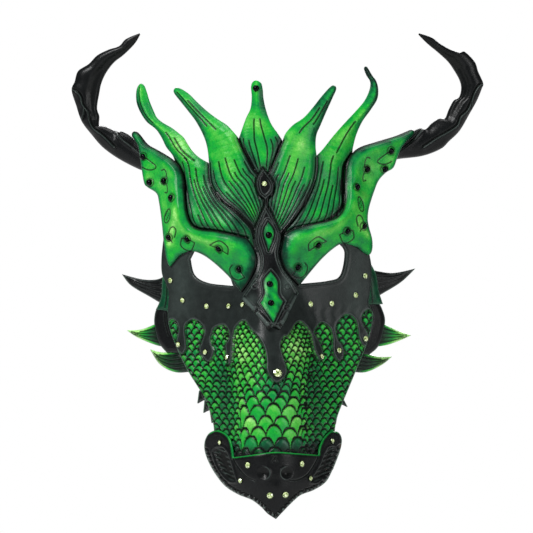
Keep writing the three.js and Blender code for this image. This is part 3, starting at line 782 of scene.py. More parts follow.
# Each blade's two long edges, from the root to the tip
blades = {
    "crest_blade_1": (
        [(-54, 15), (-62, 30), (-63.5, 50), (-64.5, 66), (-66.5, 76), (-71.5, 82.9), (-75, 89.9), (-79, 95.7),
         (-84.9, 100.4), (-88.4, 105), (-91.2, 110.3), (-92.8, 115.5), (-93, 121.4), (-92, 125.6),
         (-89.8, 128)],
        [(-6, 10), (-8, 24), (-18, 35), (-27, 42), (-33.5, 50), (-37, 57), (-38.5, 65), (-39.5, 70),
         (-48.7, 75.6), (-53.4, 80), (-56.9, 85.2), (-59.8, 89.9), (-63.9, 93.4), (-68.5, 96.9),
         (-74.4, 100.4), (-78.5, 103.9), (-80.8, 108.5), (-83.7, 115.5), (-85.5, 121.4), (-87.4, 126.4),
         (-89.8, 128)],
    ),
    "crest_blade_2": (
        [(-8, 12), (-10.2, 24.5), (-16, 31.5), (-23, 38.5), (-31.2, 44.4), (-36.5, 50.2), (-40, 57.2),
         (-41.1, 64.2), (-41.4, 71.2), (-42.3, 80.5), (-44, 87.5), (-47, 94.5), (-51, 101.5),
         (-56.3, 108.5), (-61.5, 115), (-65.8, 120.6), (-66.4, 123.2), (-64.8, 124.7)],
        [(0, 14), (-1, 40), (-4, 60), (-9.6, 66.6), (-14.3, 74.7), (-18.4, 82.9), (-20.7, 88.7),
         (-25.4, 94.5), (-29.5, 98.6), (-35.9, 102.7), (-42.9, 108), (-49.9, 114.4), (-55.7, 120.2),
         (-61.5, 124.1), (-64.8, 124.7)],
    ),
    "crest_blade_3": (
        [(-6, 60), (-13, 70), (-19, 80), (-20.8, 86.5), (-19.3, 92), (-15.5, 102.7), (-12.3, 109.7),
         (-11.4, 117.9), (-11.9, 124.3), (-11, 128), (-8.2, 129.6)],
        [(1, 60), (6, 70), (10, 78), (11, 84), (9.7, 88), (6.8, 92.5), (2.1, 99.4), (-1.3, 108.7),
         (-3.1, 116.8), (-3.6, 122.7), (-4.8, 127.6), (-8.2, 129.6)],
    ),
    "crest_blade_4": (
        [(-4, 14), (-2.5, 40), (-1, 60), (2, 67), (5.6, 76), (9, 84), (10.5, 87.5), (12.6, 92.5),
         (17.8, 98.3), (25.4, 103.5), (31.7, 110.5), (38.1, 118.6), (43.9, 125), (46.6, 126.3)],
        [(6, 10), (9.7, 22.2), (17.2, 30.9), (23, 39.1), (28.3, 48.3), (32.3, 57.6), (34.1, 66.9),
         (34.3, 75.1), (33.5, 83.2), (34.1, 91.3), (37, 98.3), (41, 107.6), (45.7, 118), (48.1, 123.8),
         (46.6, 126.3)],
    ),
    "crest_blade_5": (
        [(4, 10), (8, 22), (16, 34), (22, 45), (27, 56), (29.5, 66), (31.8, 73.5), (39.3, 82), (46.8, 91.3),
         (55, 100.6), (62.5, 108.7), (68.3, 115.7), (71.8, 123.2), (72.4, 129), (69.7, 133.7), (68, 138.3),
         (69, 140)],
        [(50, 15), (60, 30), (60, 50), (60, 68), (59.5, 79.1), (60.2, 84.3), (62.5, 92.5), (66.6, 101.2),
         (72.4, 109.3), (77, 116.8), (77.8, 123.8), (76.4, 129.6), (73.5, 133.7), (70.3, 139), (69, 140)],
    ),
}
blade_layers = {"crest_blade_1": 0.9, "crest_blade_2": -0.9, "crest_blade_3": 0.9, "crest_blade_4": -0.9,
                "crest_blade_5": 0.9}
BLADE_SKIN = 1.7  # thin enough for a forward blade to clear the one behind it
# The seams where blades meet each other, the brows and the ornament, each drawn as a dark line with painted
# shade spreading beside it
seams = [
    blades["crest_blade_2"][0][:9], blades["crest_blade_2"][1][2:7], blades["crest_blade_4"][0][2:7],
    blades["crest_blade_4"][1][:8],
    [(-66, 74), (-61.5, 67.7), (-59.2, 59.5), (-58.6, 50.2), (-57.5, 38.5), (-54.5, 29.8), (-49, 25.4),
     (-34.5, 23.5), (-14.5, 19)],
    [(59, 78.5), (54, 71), (52.8, 64.5), (52.5, 52), (52, 41), (41, 31), (20, 26), (11, 21)],
    [(-3.5, 68), (-8, 59), (-6.5, 50), (-1.8, 44.5), (-5.5, 34), (-8.5, 26), (-9, 16.5)],
    [(-3.5, 68), (3.5, 58), (3.4, 51), (-1.2, 44.5), (3.5, 34), (9, 21.5)],
]


def between(first, second, share, start, end):
    """A line that runs part of the way along, a share of the way from one edge to the other."""
    middle = (1 - share) * spread(first, 101) + share * spread(second, 101)
    return middle[int(100 * start):int(100 * end) + 1:3]


# Each blade's grain: share across, and where the line starts and ends along the blade
grain = {
    "crest_blade_1": [(0.06, 0.0, 0.42), (0.14, 0.0, 0.3), (0.22, 0.0, 0.5), (0.31, 0.0, 0.2),
                      (0.38, 0.0, 0.52), (0.48, 0.0, 0.4), (0.56, 0.0, 0.46), (0.66, 0.0, 0.38),
                      (0.74, 0.0, 0.42), (0.84, 0.0, 0.36), (0.93, 0.0, 0.42), (0.35, 0.76, 0.97),
                      (0.42, 0.5, 0.68), (0.62, 0.5, 0.66)],
    "crest_blade_2": [(0.05, 0.05, 0.4), (0.12, 0.1, 0.5), (0.2, 0.05, 0.36), (0.3, 0.1, 0.52),
                      (0.4, 0.1, 0.42), (0.5, 0.1, 0.54), (0.6, 0.1, 0.44), (0.7, 0.1, 0.5),
                      (0.8, 0.1, 0.44), (0.9, 0.1, 0.46), (0.4, 0.72, 0.96), (0.6, 0.68, 0.9)],
    "crest_blade_3": [(0.12, 0.12, 0.42), (0.25, 0.1, 0.4), (0.38, 0.1, 0.62), (0.62, 0.1, 0.62),
                      (0.75, 0.1, 0.42), (0.88, 0.12, 0.44)],
    "crest_blade_4": [(0.1, 0.1, 0.46), (0.2, 0.1, 0.4), (0.3, 0.1, 0.52), (0.4, 0.1, 0.44), (0.5, 0.1, 0.52),
                      (0.6, 0.1, 0.4), (0.7, 0.1, 0.5), (0.8, 0.1, 0.42), (0.9, 0.05, 0.46),
                      (0.35, 0.66, 0.86), (0.6, 0.74, 0.9)],
    "crest_blade_5": [(0.07, 0.0, 0.42), (0.16, 0.0, 0.36), (0.26, 0.0, 0.46), (0.35, 0.0, 0.38),
                      (0.45, 0.0, 0.5), (0.55, 0.0, 0.34), (0.64, 0.0, 0.44), (0.74, 0.0, 0.36),
                      (0.83, 0.0, 0.46), (0.92, 0.0, 0.3), (0.5, 0.5, 0.7)],
}


tip_tones = {"crest_blade_1": 0.1, "crest_blade_2": 0.08, "crest_blade_3": 0.1, "crest_blade_4": -0.25,
             "crest_blade_5": -0.5}
upper_edges = {
    "crest_blade_1": blades["crest_blade_1"][1][8:], "crest_blade_2": blades["crest_blade_2"][1][5:],
    "crest_blade_3": blades["crest_blade_3"][0][2:], "crest_blade_4": blades["crest_blade_4"][0][5:],
    "crest_blade_5": blades["crest_blade_5"][0][6:],
}


def blade_relief(name):
    first, second = blades[name]

    def relief(points, edge, _):
        x, z = points.T
        lines = [(between(first, second, *line), 0.5, 0.75) for line in grain[name]]
        cuts = carve(points, lines)
        along, index = nearest(points, between(first, second, 0.5, 0, 1))
        share = index / index.max()
        tip = smooth(0.45, 0.8, share)
        to_seam, _ = nearest(points, np.vstack([spline(seam, 0.5) for seam in seams]))
        crown = (1.2 + 1.2 * tip) * smooth(0, 7 - 2.5 * tip, edge) * smooth(0, 5, to_seam)
        swell = 0.35 * np.sin(0.6 * along + 3 * share) * (1 - tip) * smooth(1, 5, to_seam)
        seam = smooth(1.7, 0.9, to_seam)
        middle = hump(along / np.maximum(edge + along, 1), 0.4)
        # Painted highlight: lighter along the blade's middle and on its swell partway up
        tone = 0.34 + 0.18 * middle + 0.27 * hump(share - 0.56, 0.14)
        tone = tone + tip_tones[name] * hump(share - 1, 0.12)
        # Painted shade toward the seams; darker at the rim
        tone -= 0.14 * smooth(4, 0, edge) + 0.1 * smooth(7, 1.5, to_seam)
        tone += 0.1 * np.sin(0.23 * x + 0.11 * z) * np.sin(0.17 * z - 0.08 * x + 1)
        # Painted highlight along the blade's upper edge toward the tip
        to_upper, _ = nearest(points, spline(upper_edges[name], 0.5))
        tone += 0.22 * smooth(7, 1, to_upper) * smooth(0.45, 0.6, share)
        dark = np.maximum(cuts["dark"], seam)
        # Painted shade spreading from the seams
        dark = np.maximum(dark, 0.4 * smooth(5, 1.5, to_seam))
        # Light: a painted highlight just off each seam and along the grooves' shoulders
        return {"height": crown + swell + cuts["height"] - 0.3 * seam, "dark": dark, "tone": tone,
                "light": 0.3 * cuts["light"] * (1 - seam) + 0.22 * hump(to_seam - 2.1, 0.2)}

    return relief


for name, (first, second) in blades.items():
    runs = [first + second[-2::-1], [second[0], first[0]]]
    plate(name, runs, blade_layers[name], blade_relief(name), LEATHER, "green_leather", thickness=BLADE_SKIN,
          spacing=0.5, rim=0.7)


# Brows: raised ridges with tooled curls beside their studs

brow_outlines = {
    "left": [
        [(-96, 90.8), (-95.9, 93), (-94.2, 94.3), (-92.2, 93.7), (-90.1, 91.6), (-84.9, 85.2), (-79, 81.7),
         (-72, 77.6), (-66.2, 73.5), (-61.5, 67.7), (-59.2, 59.5), (-58.6, 50.2), (-57.5, 38.5),
         (-54.5, 29.8), (-49, 25.4), (-34.5, 23.5), (-14.5, 19)],
        [(-14.5, 19), (-10.5, 13), (-8, 6), (-9, -2), (-14, -12), (-19, -19)],
        [(-19, -19), (-28.5, -7), (-43, 5.5), (-54, 9.8), (-61.5, 7), (-66.4, 2.2), (-68.8, -0.8), (-70, 0.2),
         (-71.2, 3.5), (-72.6, 10), (-73.8, 21), (-75, 32.7), (-76.7, 44.4), (-78.5, 50.5), (-84.9, 54.9),
         (-87.2, 57.8), (-89, 67.7), (-90.1, 76), (-91.6, 84), (-93.6, 87.5), (-96, 90.8)],
    ],
    "right": [
        [(102.7, 91.8), (103.4, 94.2), (101.5, 95.6), (98, 94.3), (90, 91), (75.5, 86.5), (65.9, 83.3),
         (60, 79), (55.5, 71), (54.3, 57), (53.9, 43), (50.5, 35.5), (43.5, 31.5), (20, 26), (11, 21)],
        [(11, 21), (9.5, 12.5), (9, 6.5), (11.7, -2), (17, -9), (22, -14.5)],
        [(22, -14.5), (37.5, 4), (49.5, 14), (56, 14.5), (62, 12.8), (67.5, 9), (71, 7.2), (72.8, 9),
         (73.6, 13), (73.2, 19), (71, 27), (70.2, 33), (71.3, 41), (75, 52.5), (78, 59.5), (83, 65),
         (88.3, 68.5), (91, 75), (93.9, 82), (98, 87.6), (102.7, 91.8)],
    ],
}
brow_crests = {
    "left": [(-90, 89), (-76, 77.5), (-66, 66), (-62.5, 50), (-60, 34), (-53, 24.5), (-40, 19.5), (-25, 14),
             (-15, 6)],
    "right": [(97, 92), (76, 82), (63.5, 73), (58, 60), (57, 44), (50, 33), (36, 24.5), (24, 19), (15, 11)],
}
# A lower ridge leaves each crest for the brow's outer corner
brow_forks = {
    "left": [(-66, 56), (-65, 46), (-64, 38.5), (-66, 27), (-68.5, 15)],
    "right": [(60.5, 62), (59.6, 53), (60.3, 43), (63, 31.5), (68.5, 21.5)],
}
brow_studs = {
    "left": [(-87.5, 76.5), (-83, 58), (-72.5, 59), (-66.5, 46.5), (-69, 19.5), (-56, 18.5), (-33, 12),
             (-19.5, -3)],
    "right": [(86, 80.5), (69, 67.5), (82, 67.5), (61, 54), (66.5, 27.5), (55, 24), (34, 14.5), (20.5, -1.5)],
}
# Curls beside a stud, as offsets from it on the left brow: stud on the left brow, stud on the right, lines
curls = [
    (0, 0, [[(0, 0), (8.4, -6.2), (8.2, -8.8), (3.5, -9.6), (-1, -7.5)]]),
    (2, 1, [[(1.6, 1.5), (2, 5), (0.6, 8), (-1.6, 7.4)], [(1.2, -1.5), (2.6, -5), (2.2, -8.4), (0.5, -8)]]),
    (4, 4, [[(-0.1, 3.2), (1.7, 6.8), (4.1, 7.4), (5.3, 5), (4.1, 0.1)], [(0, 0), (2.5, -3.4)]]),
    (5, 5, [[(-4, 0.5), (0, 0)], [(0, 0), (5.6, -2.5)], [(5.6, -2.5), (2.6, -7.9), (-0.4, -8.5),
        (-4.7, -4.8), (-4, 0.5)]]),
    (6, 6, [[(0, 0), (-6, 2.6)], [(-6, 2.6), (0.7, 5.9), (6.4, 1.7), (6, -4.1)], [(6, -4.1), (0, 0)]]),
    (7, 7, [[(-4.7, 3.1), (-6.8, 0), (-5.3, -5.3), (-0.7, -7.6), (3.7, -5.9)], [(3.7, -5.9), (0, 0)]]),
]
tooled_ovals = {"left": (-70, 34.5), "right": (64.5, 42.5)}


def brow_relief(side):
    way = -1 if side == "right" else 1
    lines = []
    for left_stud, right_stud, strokes in curls:
        x0, z0 = brow_studs[side][left_stud if side == "left" else right_stud]
        for stroke in strokes:
            lines.append(([(x0 + way * dx, z0 + dz) for dx, dz in stroke], 0.4, 0.6))
    oval_x, oval_z = tooled_ovals[side]
    lines.append((tilted_oval(oval_x, oval_z, 2.1, -0.3 * way, 2.4), 0.4, 0.5))

    def relief(points, edge, _):
        x, z = points.T
        cuts = carve(points, lines)
        crest = spline(brow_crests[side], 0.5)
        to_crest, index = nearest(points, crest)
        share = index / len(crest)
        to_fork, _ = nearest(points, spline(brow_forks[side], 0.5))
        seam_line = spline(brow_outlines[side][0], 0.5)
        nose_line = spline(brow_outlines[side][1], 0.5)
        to_seam, _ = nearest(points, np.vstack([seam_line, nose_line]))
        ridge = (2.6 * hump(to_crest, 5.5) + 1.0 * hump(to_fork, 4)) * smooth(0, 3, edge)
        lobe = 1.2 * smooth(0.55, 0.8, share) * smooth(0, 8, edge)
        crown = 0.6 * smooth(0, 3, edge)
        studs = np.array(brow_studs[side])
        to_stud, _ = nearest(points, studs)
        recess = -0.5 * hump(to_stud - 3.0, 0.6)
        patch = smooth(2.6, 1.2, np.hypot(x - oval_x, (z - oval_z) / 2.2))
        pebble = patch * smooth(-0.1, 0.5, np.sin(2.6 * x + 0.8 * z) * np.sin(2.3 * z))
        seam = smooth(1.5, 0.4, to_seam)
        outer_low = smooth(0, 8, to_seam - 7) * (1 - smooth(0.5, 0.7, share))
        outer = smooth(0.8, 1.2, to_seam / np.maximum(to_crest + 4, 1)) * smooth(4, 9, to_seam)
        # Painted highlight along the crest and its fork; painted shade toward the seam
        tone = 0.53 + 0.34 * hump(to_crest - 1.5, 3.5) * (0.25 + 0.75 * hump(share - 0.66, 0.2))
        tone += 0.3 * hump(to_fork, 2.6) * smooth(45, 25, z)
        tone += 0.12 * outer_low - 0.25 * hump(to_seam - 2.5, 2.2) - 0.12 * smooth(0.82, 1, share)
        tone -= 0.25 * smooth(3, 0, edge)
        tone += 0.08 * np.sin(0.35 * x + 0.2 * z) * np.sin(0.3 * z - 0.1 * x)
        dark = np.maximum.reduce([cuts["dark"], 0.97 * seam, 0.9 * hump(to_stud - 2.7, 0.5), 0.9 * pebble])
        dark = np.maximum(dark, 0.15 * smooth(-2, -18, z))
        # Light: a painted highlight beside the cuts, and a paler grey on the outer flat
        return {"height": ridge + lobe + crown + recess + cuts["height"] - 0.25 * patch, "dark": dark,
                "tone": tone, "light": 0.2 * cuts["light"] + 0.07 * outer * smooth(10, 25, z)}

    return relief


for side, runs in brow_outlines.items():
    plate(f"{side}_brow", runs, -LAYER, brow_relief(side), LEATHER, "green_leather", spacing=0.5)


# Nose ornament: black plaque with raised borders, and two green insets on it

ornament = [
    [(-3.5, 68), (-8, 59), (-6.5, 50), (-1.8, 44.5), (-5.5, 34), (-8.5, 26), (-9, 16.5), (-5.5, 4.5),
     (-7, -5), (-11.5, -12.5), (-18.5, -22.5)],
    [(-18.5, -22.5), (-18, -26), (-9.5, -33.5), (0, -45)],
    [(0, -45), (4.5, -43), (8.5, -45)],
    [(8.5, -45), (12.5, -38.5), (16, -31), (21.5, -19.5)],
    [(21.5, -19.5), (17, -11.5), (10.5, -3), (7.5, 7), (8.5, 14), (9, 21.5), (3.5, 34), (-1.2, 44.5),
     (3.4, 51), (3.5, 58), (-3.5, 68)],
]
upper_inset = [
    [(0, 30.5), (-3.2, 22.5), (0.5, 9.5)],
    [(0.5, 9.5), (4.5, 22.5), (0, 30.5)],
]
lower_inset = [
    [(2, -4), (-3, -11), (-2.5, -20), (-5.5, -26.5)],
    [(-5.5, -26.5), (-1.5, -32.5), (4, -40.5)],
    [(4, -40.5), (8.5, -31), (11, -25.5)],
    [(11, -25.5), (7.5, -20), (7, -11.5), (2, -4)],
]
INSET_SKIN = 1.4
ornament_rings = [(-9, -15, 2.0), (13, -15.5, 2.0), (0.5, -43, 2.3), (9, -42, 2.3), (-8, -32, 2.4),
                  (12.5, -30, 2.4)]


# Tubes of rolled leather along the plaque's lower edges
ornament_rolls = [[(-15.5, -24), (-8.5, -31.5)], [(-6.5, -34.5), (0, -42)], [(18.5, -22.5), (13.5, -31)],
                  [(12.5, -34), (9, -41)]]


def ornament_relief(points, edge, _):
    x, z = points.T
    to_roll, _ = nearest(points, np.vstack([spline(roll, LINE_SAMPLE) for roll in ornament_rolls]))
    tube = np.sqrt(np.clip(1 - (to_roll / 2.4) ** 2, 0, 1))
    insets = np.vstack([outline(upper_inset), outline(lower_inset)])
    to_inset, _ = nearest(points, insets)
    borders = hump(edge - 0.9, 0.25) + hump(edge - 2.4, 0.25) * smooth(62, 56, z)
    around = hump(to_inset - 1.1, 0.25) + 0.8 * hump(to_inset - 2.6, 0.25) * smooth(4, 12, z)
    lines = np.maximum(borders, around * (edge > 1.4)) * (tube == 0)
    panel = hump(x - 13, 4) * hump(z + 14, 8) + 0.5 * hump(x + 11, 4) * hump(z + 25, 5)
    rings = np.zeros(len(x))
    domes = np.zeros(len(x))
    for ring_x, ring_z, radius in ornament_rings:
        reach = np.hypot(x - ring_x, z - ring_z)
        rings = np.maximum(rings, hump(reach - radius, 0.35))
        domes = np.maximum(domes, hump(reach, radius * 0.55))
    socket = hump(np.hypot(x + 2.5, z - 57), 3.4)
    height = 0.6 * smooth(0, 3, edge) + 0.75 * lines + 0.5 * rings + 0.9 * domes + 1.4 * tube - 0.4 * socket
    # Painted highlights on the raised borders, the rings and the tops of the rolls; the panels are paler grey
    # leather
    light = 0.2 * lines + 0.1 * rings + 0.22 * panel * (1 - rings) + 0.2 * smooth(0.8, 1, tube)
    # Dark: antiquing in the border grooves, and painted shade in the crystal's socket and along the foot of
    # each roll
    dark = hump(edge - 1.65, 0.45) + hump(to_inset - 1.85, 0.45) + 0.6 * socket + smooth(0.5, 0.1, edge)
    dark = dark * (tube == 0) + 0.9 * hump(to_roll - 2.5, 0.5)
    return {"height": height, "dark": dark.clip(0, 1), "paint": 1.0, "light": light}


def inset_relief(points, edge, _):
    x, z = points.T
    waves = np.sin(0.9 * x + 0.4 * z) * np.sin(0.5 * z)
    return {"height": 0.5 * smooth(0, 3, edge), "dark": 0.8 * smooth(1.0, 0.2, edge),
            "tone": 0.47 + 0.14 * waves - 0.15 * smooth(2.5, 0, edge)}


plate("nose_ornament", ornament, -LAYER, ornament_relief, LEATHER, "black_leather", spacing=0.4)
plate("upper_inset", upper_inset, -LAYER - INSET_SKIN, inset_relief, LEATHER, "green_leather", 0.4,
      INSET_SKIN, rim=0.4)
plate("lower_inset", lower_inset, -LAYER - INSET_SKIN, inset_relief, LEATHER, "green_leather", 0.4,
      INSET_SKIN, rim=0.4)


# Snout plate: black upper lip with nostrils, ribbed mouth corners and a beaded rim

snout = [
    [(-24.2, -134), (-10.5, -132), (4.5, -130), (19, -131), (35.5, -132.5)],
    [(35.5, -132.5), (36.3, -127), (39.5, -120.5), (44.5, -116.3), (49.5, -117.3), (51.8, -122), (51, -128.5),
     (48.7, -135.3), (45.2, -143.5), (40.5, -151.6), (32.3, -156.9), (23, -160.3), (16.6, -165.6),
     (10.8, -171.5), (5.6, -177)],
    [(5.6, -177), (-0.2, -173.2), (-4.8, -168.5), (-11.4, -163.6), (-20.7, -160), (-29.5, -154.7),
     (-35.9, -147.4), (-41.1, -138.8), (-44.2, -130.6), (-44.3, -123.6), (-41.5, -118), (-36.5, -115.6),
     (-31, -117), (-27, -121), (-25.2, -127), (-24.2, -134)],
]
snout_rim = [snout[1][6:], snout[2][:9]]
snout_top = [snout[2][10:], snout[0], snout[1][:5]]
slots = {
    "left": [[(-37.8, -130.9), (-35.7, -128), (-31.5, -127.8), (-28.7, -130.2), (-26.6, -135), (-24.5, -142),
              (-22, -150.5)],
             [(-22, -150.5), (-25.9, -150.3), (-30.8, -146), (-35, -139.3), (-37.8, -130.9)]],
    "right": [[(46.9, -129.5), (45.5, -127.4), (42, -128), (39.3, -132.3), (36.5, -139.3), (32.3, -146.3),
               (29.6, -151)],
              [(29.6, -151), (33.5, -151.2), (39.3, -147.8), (43.5, -142), (46.9, -129.5)]],
}
lip_lines = [
    ([(-24, -135), (-21, -140), (-15, -147), (-9, -150)], 0.4, 0.5),
    ([(34.5, -134), (32, -139), (27, -146), (20, -149.5), (14.5, -149.5)], 0.4, 0.5),
    ([(2.6, -137), (5.8, -132.8)], 0.35, 0.4),
    ([(3, -132.8), (6.4, -137)], 0.35, 0.4),
]
nostrils = [(-3, -144.8), (13, -144.8)]


def snout_relief(points, edge, _):
    x, z = points.T
    cuts = carve(points, lip_lines)
    rim_line = outline(snout_rim, LINE_SAMPLE)
    to_rim, index = nearest(points, rim_line)
    to_top, _ = nearest(points, outline(snout_top))
    beads = np.abs(np.sin(index * LINE_SAMPLE * math.pi / 3.3 + 0.8 * np.sin(index * 0.09)))
    beads = beads * np.abs(np.sin((to_rim + 0.3 * np.sin(index * 0.23)) * math.pi / 3.2))
    bead_band = smooth(0.1, 0.5, to_rim) * smooth(3.6, 3.1, to_rim) * smooth(-121, -125, z)
    height = 0.5 * smooth(0, 2.5, edge) + cuts["height"] + bead_band * (1.7 * beads - 0.8)
    dark = np.maximum(cuts["dark"], bead_band * 0.95 * (1 - beads) ** 1.5)
    # Painted glints on the tops of the beads
    light = 0.2 * cuts["light"] + 0.4 * bead_band * smooth(0.75, 1, beads)
    for slot_runs in slots.values():
        loop = outline(slot_runs)
        within = inside(points, loop)
        reach, _ = nearest(points, loop)
        pit = np.where(within, smooth(0, 1.2, reach), 0)
        lip = np.where(within, 0, hump(reach - 0.9, 0.7))
        ribs = np.abs(np.sin((z - 0.35 * np.abs(x - 5)) * math.pi / 3.0)) ** 8 * smooth(3.4, 1.4, reach)
        height += pit * (-1.6 + 1.2 * ribs) + 0.6 * lip
        # Painted shade inside each slot, with painted highlights on its ribs and along its lip
        dark = np.maximum(dark, pit * (1.0 - 0.8 * ribs))
        light = light * (1 - pit) + 0.05 * hump(reach - 0.9, 0.25) * (1 - pit) + 0.16 * pit * ribs
    for nostril_x, nostril_z in nostrils:
        reach = np.hypot(x - nostril_x, z - nostril_z)
        away = np.sign(nostril_x - 6.5) * (x - nostril_x) / 4.2
        height += -1.9 * hump(reach, 3.0) + 0.9 * hump(reach - 4.5, 0.9) * (0.6 - 0.4 * away)
        # Painted shade in each nostril, and a painted highlight on the crescent on its inner side
        dark = np.maximum(dark, 0.85 * hump(reach, 3.0))
        light = light + 0.16 * hump(reach - 4.5, 0.3) * smooth(0.2, -0.6, away)
    ridge = 1.1 * hump(x - 6, 7) * smooth(-148, -156, z)
    green_edge = smooth(0.9, 0.45, to_top)
    return {"height": height + ridge, "dark": dark * (1 - green_edge), "paint": 1 - green_edge, "tone": 0.5,
            "light": light.clip(0, 1)}


plate("snout_plate", snout, -LAYER, snout_relief, LEATHER, "black_leather", spacing=0.42)


# Cheek frill on each side: strip, flap, jaw spines and spikes

# Each piece: its outline, offset, two long edges from root to tip, and how black its root and tip are
frill = {
    "left_cheek_strip": (
        [[(-73.5, -4), (-74.6, -12), (-75, -20), (-76.4, -26), (-79, -31.5)], [(-79, -31.5), (-65.5, -34)],
         [(-65.5, -34), (-65.5, -4)], [(-65.5, -4), (-73.5, -4)]],
        LAYER, [(-66, -31), (-66, -4)], [(-79, -31), (-76, -25), (-74.6, -12), (-73.5, -4)], 0.1, 0.45),
    "left_cheek_flap": (
        [[(-76, -27), (-79.3, -33), (-80, -42), (-77.3, -53.9), (-71.4, -61.5)], [(-71.4, -61.5), (-58, -62)],
         [(-58, -62), (-64, -27)], [(-64, -27), (-76, -27)]],
        LAYER + 1.2, [(-65.5, -32.5), (-60, -52)], [(-79, -32.5), (-79.5, -43), (-75.5, -56),
            (-70.5, -60.5)], 1.0, 1.0),
    "left_jaw_spines": (
        [[(-48.5, -88.5), (-49.6, -97)], [(-49.6, -97), (-44.5, -94)], [(-44.5, -94), (-45.4, -103.5)],
         [(-45.4, -103.5), (-41, -101)], [(-41, -101), (-39.6, -110.5)], [(-39.6, -110.5), (-34, -106)],
         [(-34, -106), (-38, -90), (-42, -80)], [(-42, -80), (-48.5, -88.5)]],
        LAYER, [(-42, -80), (-38, -90), (-34, -106)], [(-49.7, -88.5), (-45.6, -100), (-39.6, -111.3)],
        1.0, 1.0),
    "right_cheek_strip": (
        [[(73, 0), (76.4, -7), (77.6, -14), (78.6, -20), (81, -27.5)], [(81, -27.5), (65.5, -28.5)],
         [(65.5, -28.5), (65.5, 0)],
         [(65.5, 0), (73, 0)]],
        LAYER, [(66, -28.5), (66, 0)], [(80.5, -27.5), (78, -14), (73, 0)], 0.1, 0.45),
    "right_cheek_flap": (
        [[(77, -25), (80.5, -31), (82.5, -40.5), (78.5, -56), (71.5, -63)], [(71.5, -63), (58, -62)],
         [(58, -62), (64, -25)], [(64, -25), (77, -25)]],
        LAYER + 1.2, [(65.5, -30), (60, -54)], [(79, -30), (82.5, -40.5), (76.5, -58.5), (71, -62)],
        1.0, 1.0),
    "right_jaw_spines": (
        [[(50.5, -89), (56, -99.5)], [(56, -99.5), (50, -96.5)], [(50, -96.5), (47.8, -111.3)],
         [(47.8, -111.3), (43.5, -106)], [(43.5, -106), (38, -102), (44, -82)], [(44, -82), (50.5, -89)]],
        LAYER, [(44, -82), (38, -102)], [(50.5, -89), (47.8, -111.3)], 1.0, 1.0),
    "left_spike_1": (
        [[(-103, -6.5), (-89, -10), (-78, -10), (-72, -7)], [(-72, -7), (-72, -29)],
         [(-72, -29), (-83, -22.5), (-96.5, -14.5), (-103, -6.5)]],
        2 * LAYER, [(-72, -7), (-78, -10), (-89, -10), (-103, -6.5)], [(-72, -29), (-83, -22.5),
            (-96.5, -14.5), (-103, -6.5)],
        1.0, 1.0),
    "left_spike_2": (
        [[(-99.5, -46), (-88, -45), (-72, -38)], [(-72, -38), (-68, -58)],
         [(-68, -58), (-78.5, -56.5), (-92, -51), (-99.5, -46)]],
        2 * LAYER, [(-72, -38), (-88, -45), (-99.5, -46)], [(-68, -58), (-78.5, -56.5), (-92, -51),
            (-99.5, -46)],
        0.95, 0.0),
    "left_spike_3": (
        [[(-83, -59.5), (-74, -61.5), (-62, -60)], [(-62, -60), (-50, -74)],
         [(-50, -74), (-64.5, -75.5), (-76, -70), (-83, -59.5)]],
        2 * LAYER, [(-62, -60), (-74, -61.5), (-83, -59.5)], [(-50, -74), (-64.5, -75.5), (-76, -70),
            (-83, -59.5)],
        0.95, 0.75),
    "right_spike_1": (
        [[(104, -2.5), (88, -5.5), (72, -3)], [(72, -3), (72, -25)],
         [(72, -25), (81, -20), (94, -12), (104, -2.5)]],
        2 * LAYER, [(72, -3), (88, -5.5), (104, -2.5)], [(72, -25), (81, -20), (94, -12), (104, -2.5)],
        1.0, 1.0),
    "right_spike_2": (
        [[(101, -49.5), (93.5, -47), (82.5, -42), (72, -38)], [(72, -38), (70, -58)],
         [(70, -58), (83, -56.5), (93.5, -53), (101, -49.5)]],
        2 * LAYER, [(72, -38), (82.5, -42), (101, -49.5)], [(70, -58), (83, -56.5), (93.5, -53),
            (101, -49.5)], 0.95, 0.0),
    "right_spike_3": (
        [[(87.5, -64.5), (78, -64.5), (64, -61)], [(64, -61), (55, -74)],
         [(55, -74), (68, -75.5), (80, -70.5), (87.5, -64.5)]],
        2 * LAYER, [(64, -61), (78, -64.5), (87.5, -64.5)], [(55, -74), (68, -75.5), (80, -70.5),
            (87.5, -64.5)], 0.95, 0.7),
}


def frill_relief(first, second, root_black, tip_black, plain):
    def relief(points, edge, _):
        ends = ((0.5, 0.7),) if plain else ((0.2, 0.7), (0.4, 0.9), (0.6, 0.8), (0.8, 0.9))
        lines = [(between(first, second, share, 0.05, end), 0.4, 0.5) for share, end in ends]
        cuts = carve(points, lines)
        _, index = nearest(points, between(first, second, 0.5, 0, 1))
        share = index / index.max()
        black = root_black + (tip_black - root_black) * smooth(0.25, 0.7, share)
        rim = smooth(1.9, 1.2, edge) * smooth(0.15, 0.4, share) * (tip_black < 0.9)
        black = black * (1 - 0.95 * rim)
        corner = smooth(0.5, 1, share) * smooth(-16, -30, points[:, 1])
        tone = 0.2 + 0.5 * corner if plain else 0.4 + 0.5 * smooth(0.3, 0.9, share) + 0.3 * rim
        # Light: a painted highlight just inside the rim, and beside the cuts
        return {"height": 1.1 * smooth(0, 3.5, edge) + cuts["height"], "dark": cuts["dark"],
                "paint": black.clip(0, 1), "tone": tone,
                "light": 0.15 * hump(edge - 0.5, 0.25) + 0.2 * cuts["light"]}

    return relief


for name, (runs, offset, first, second, root_black, tip_black) in frill.items():
    slot_name = "green_leather" if "strip" in name else "black_leather"
    plain = "strip" in name or "flap" in name
    relief = frill_relief(first, second, root_black, tip_black, plain)
    plate(name, runs, offset, relief, LEATHER, slot_name, spacing=0.6)


# Horns: creased leather that sweeps out and up and hooks back in at the tip

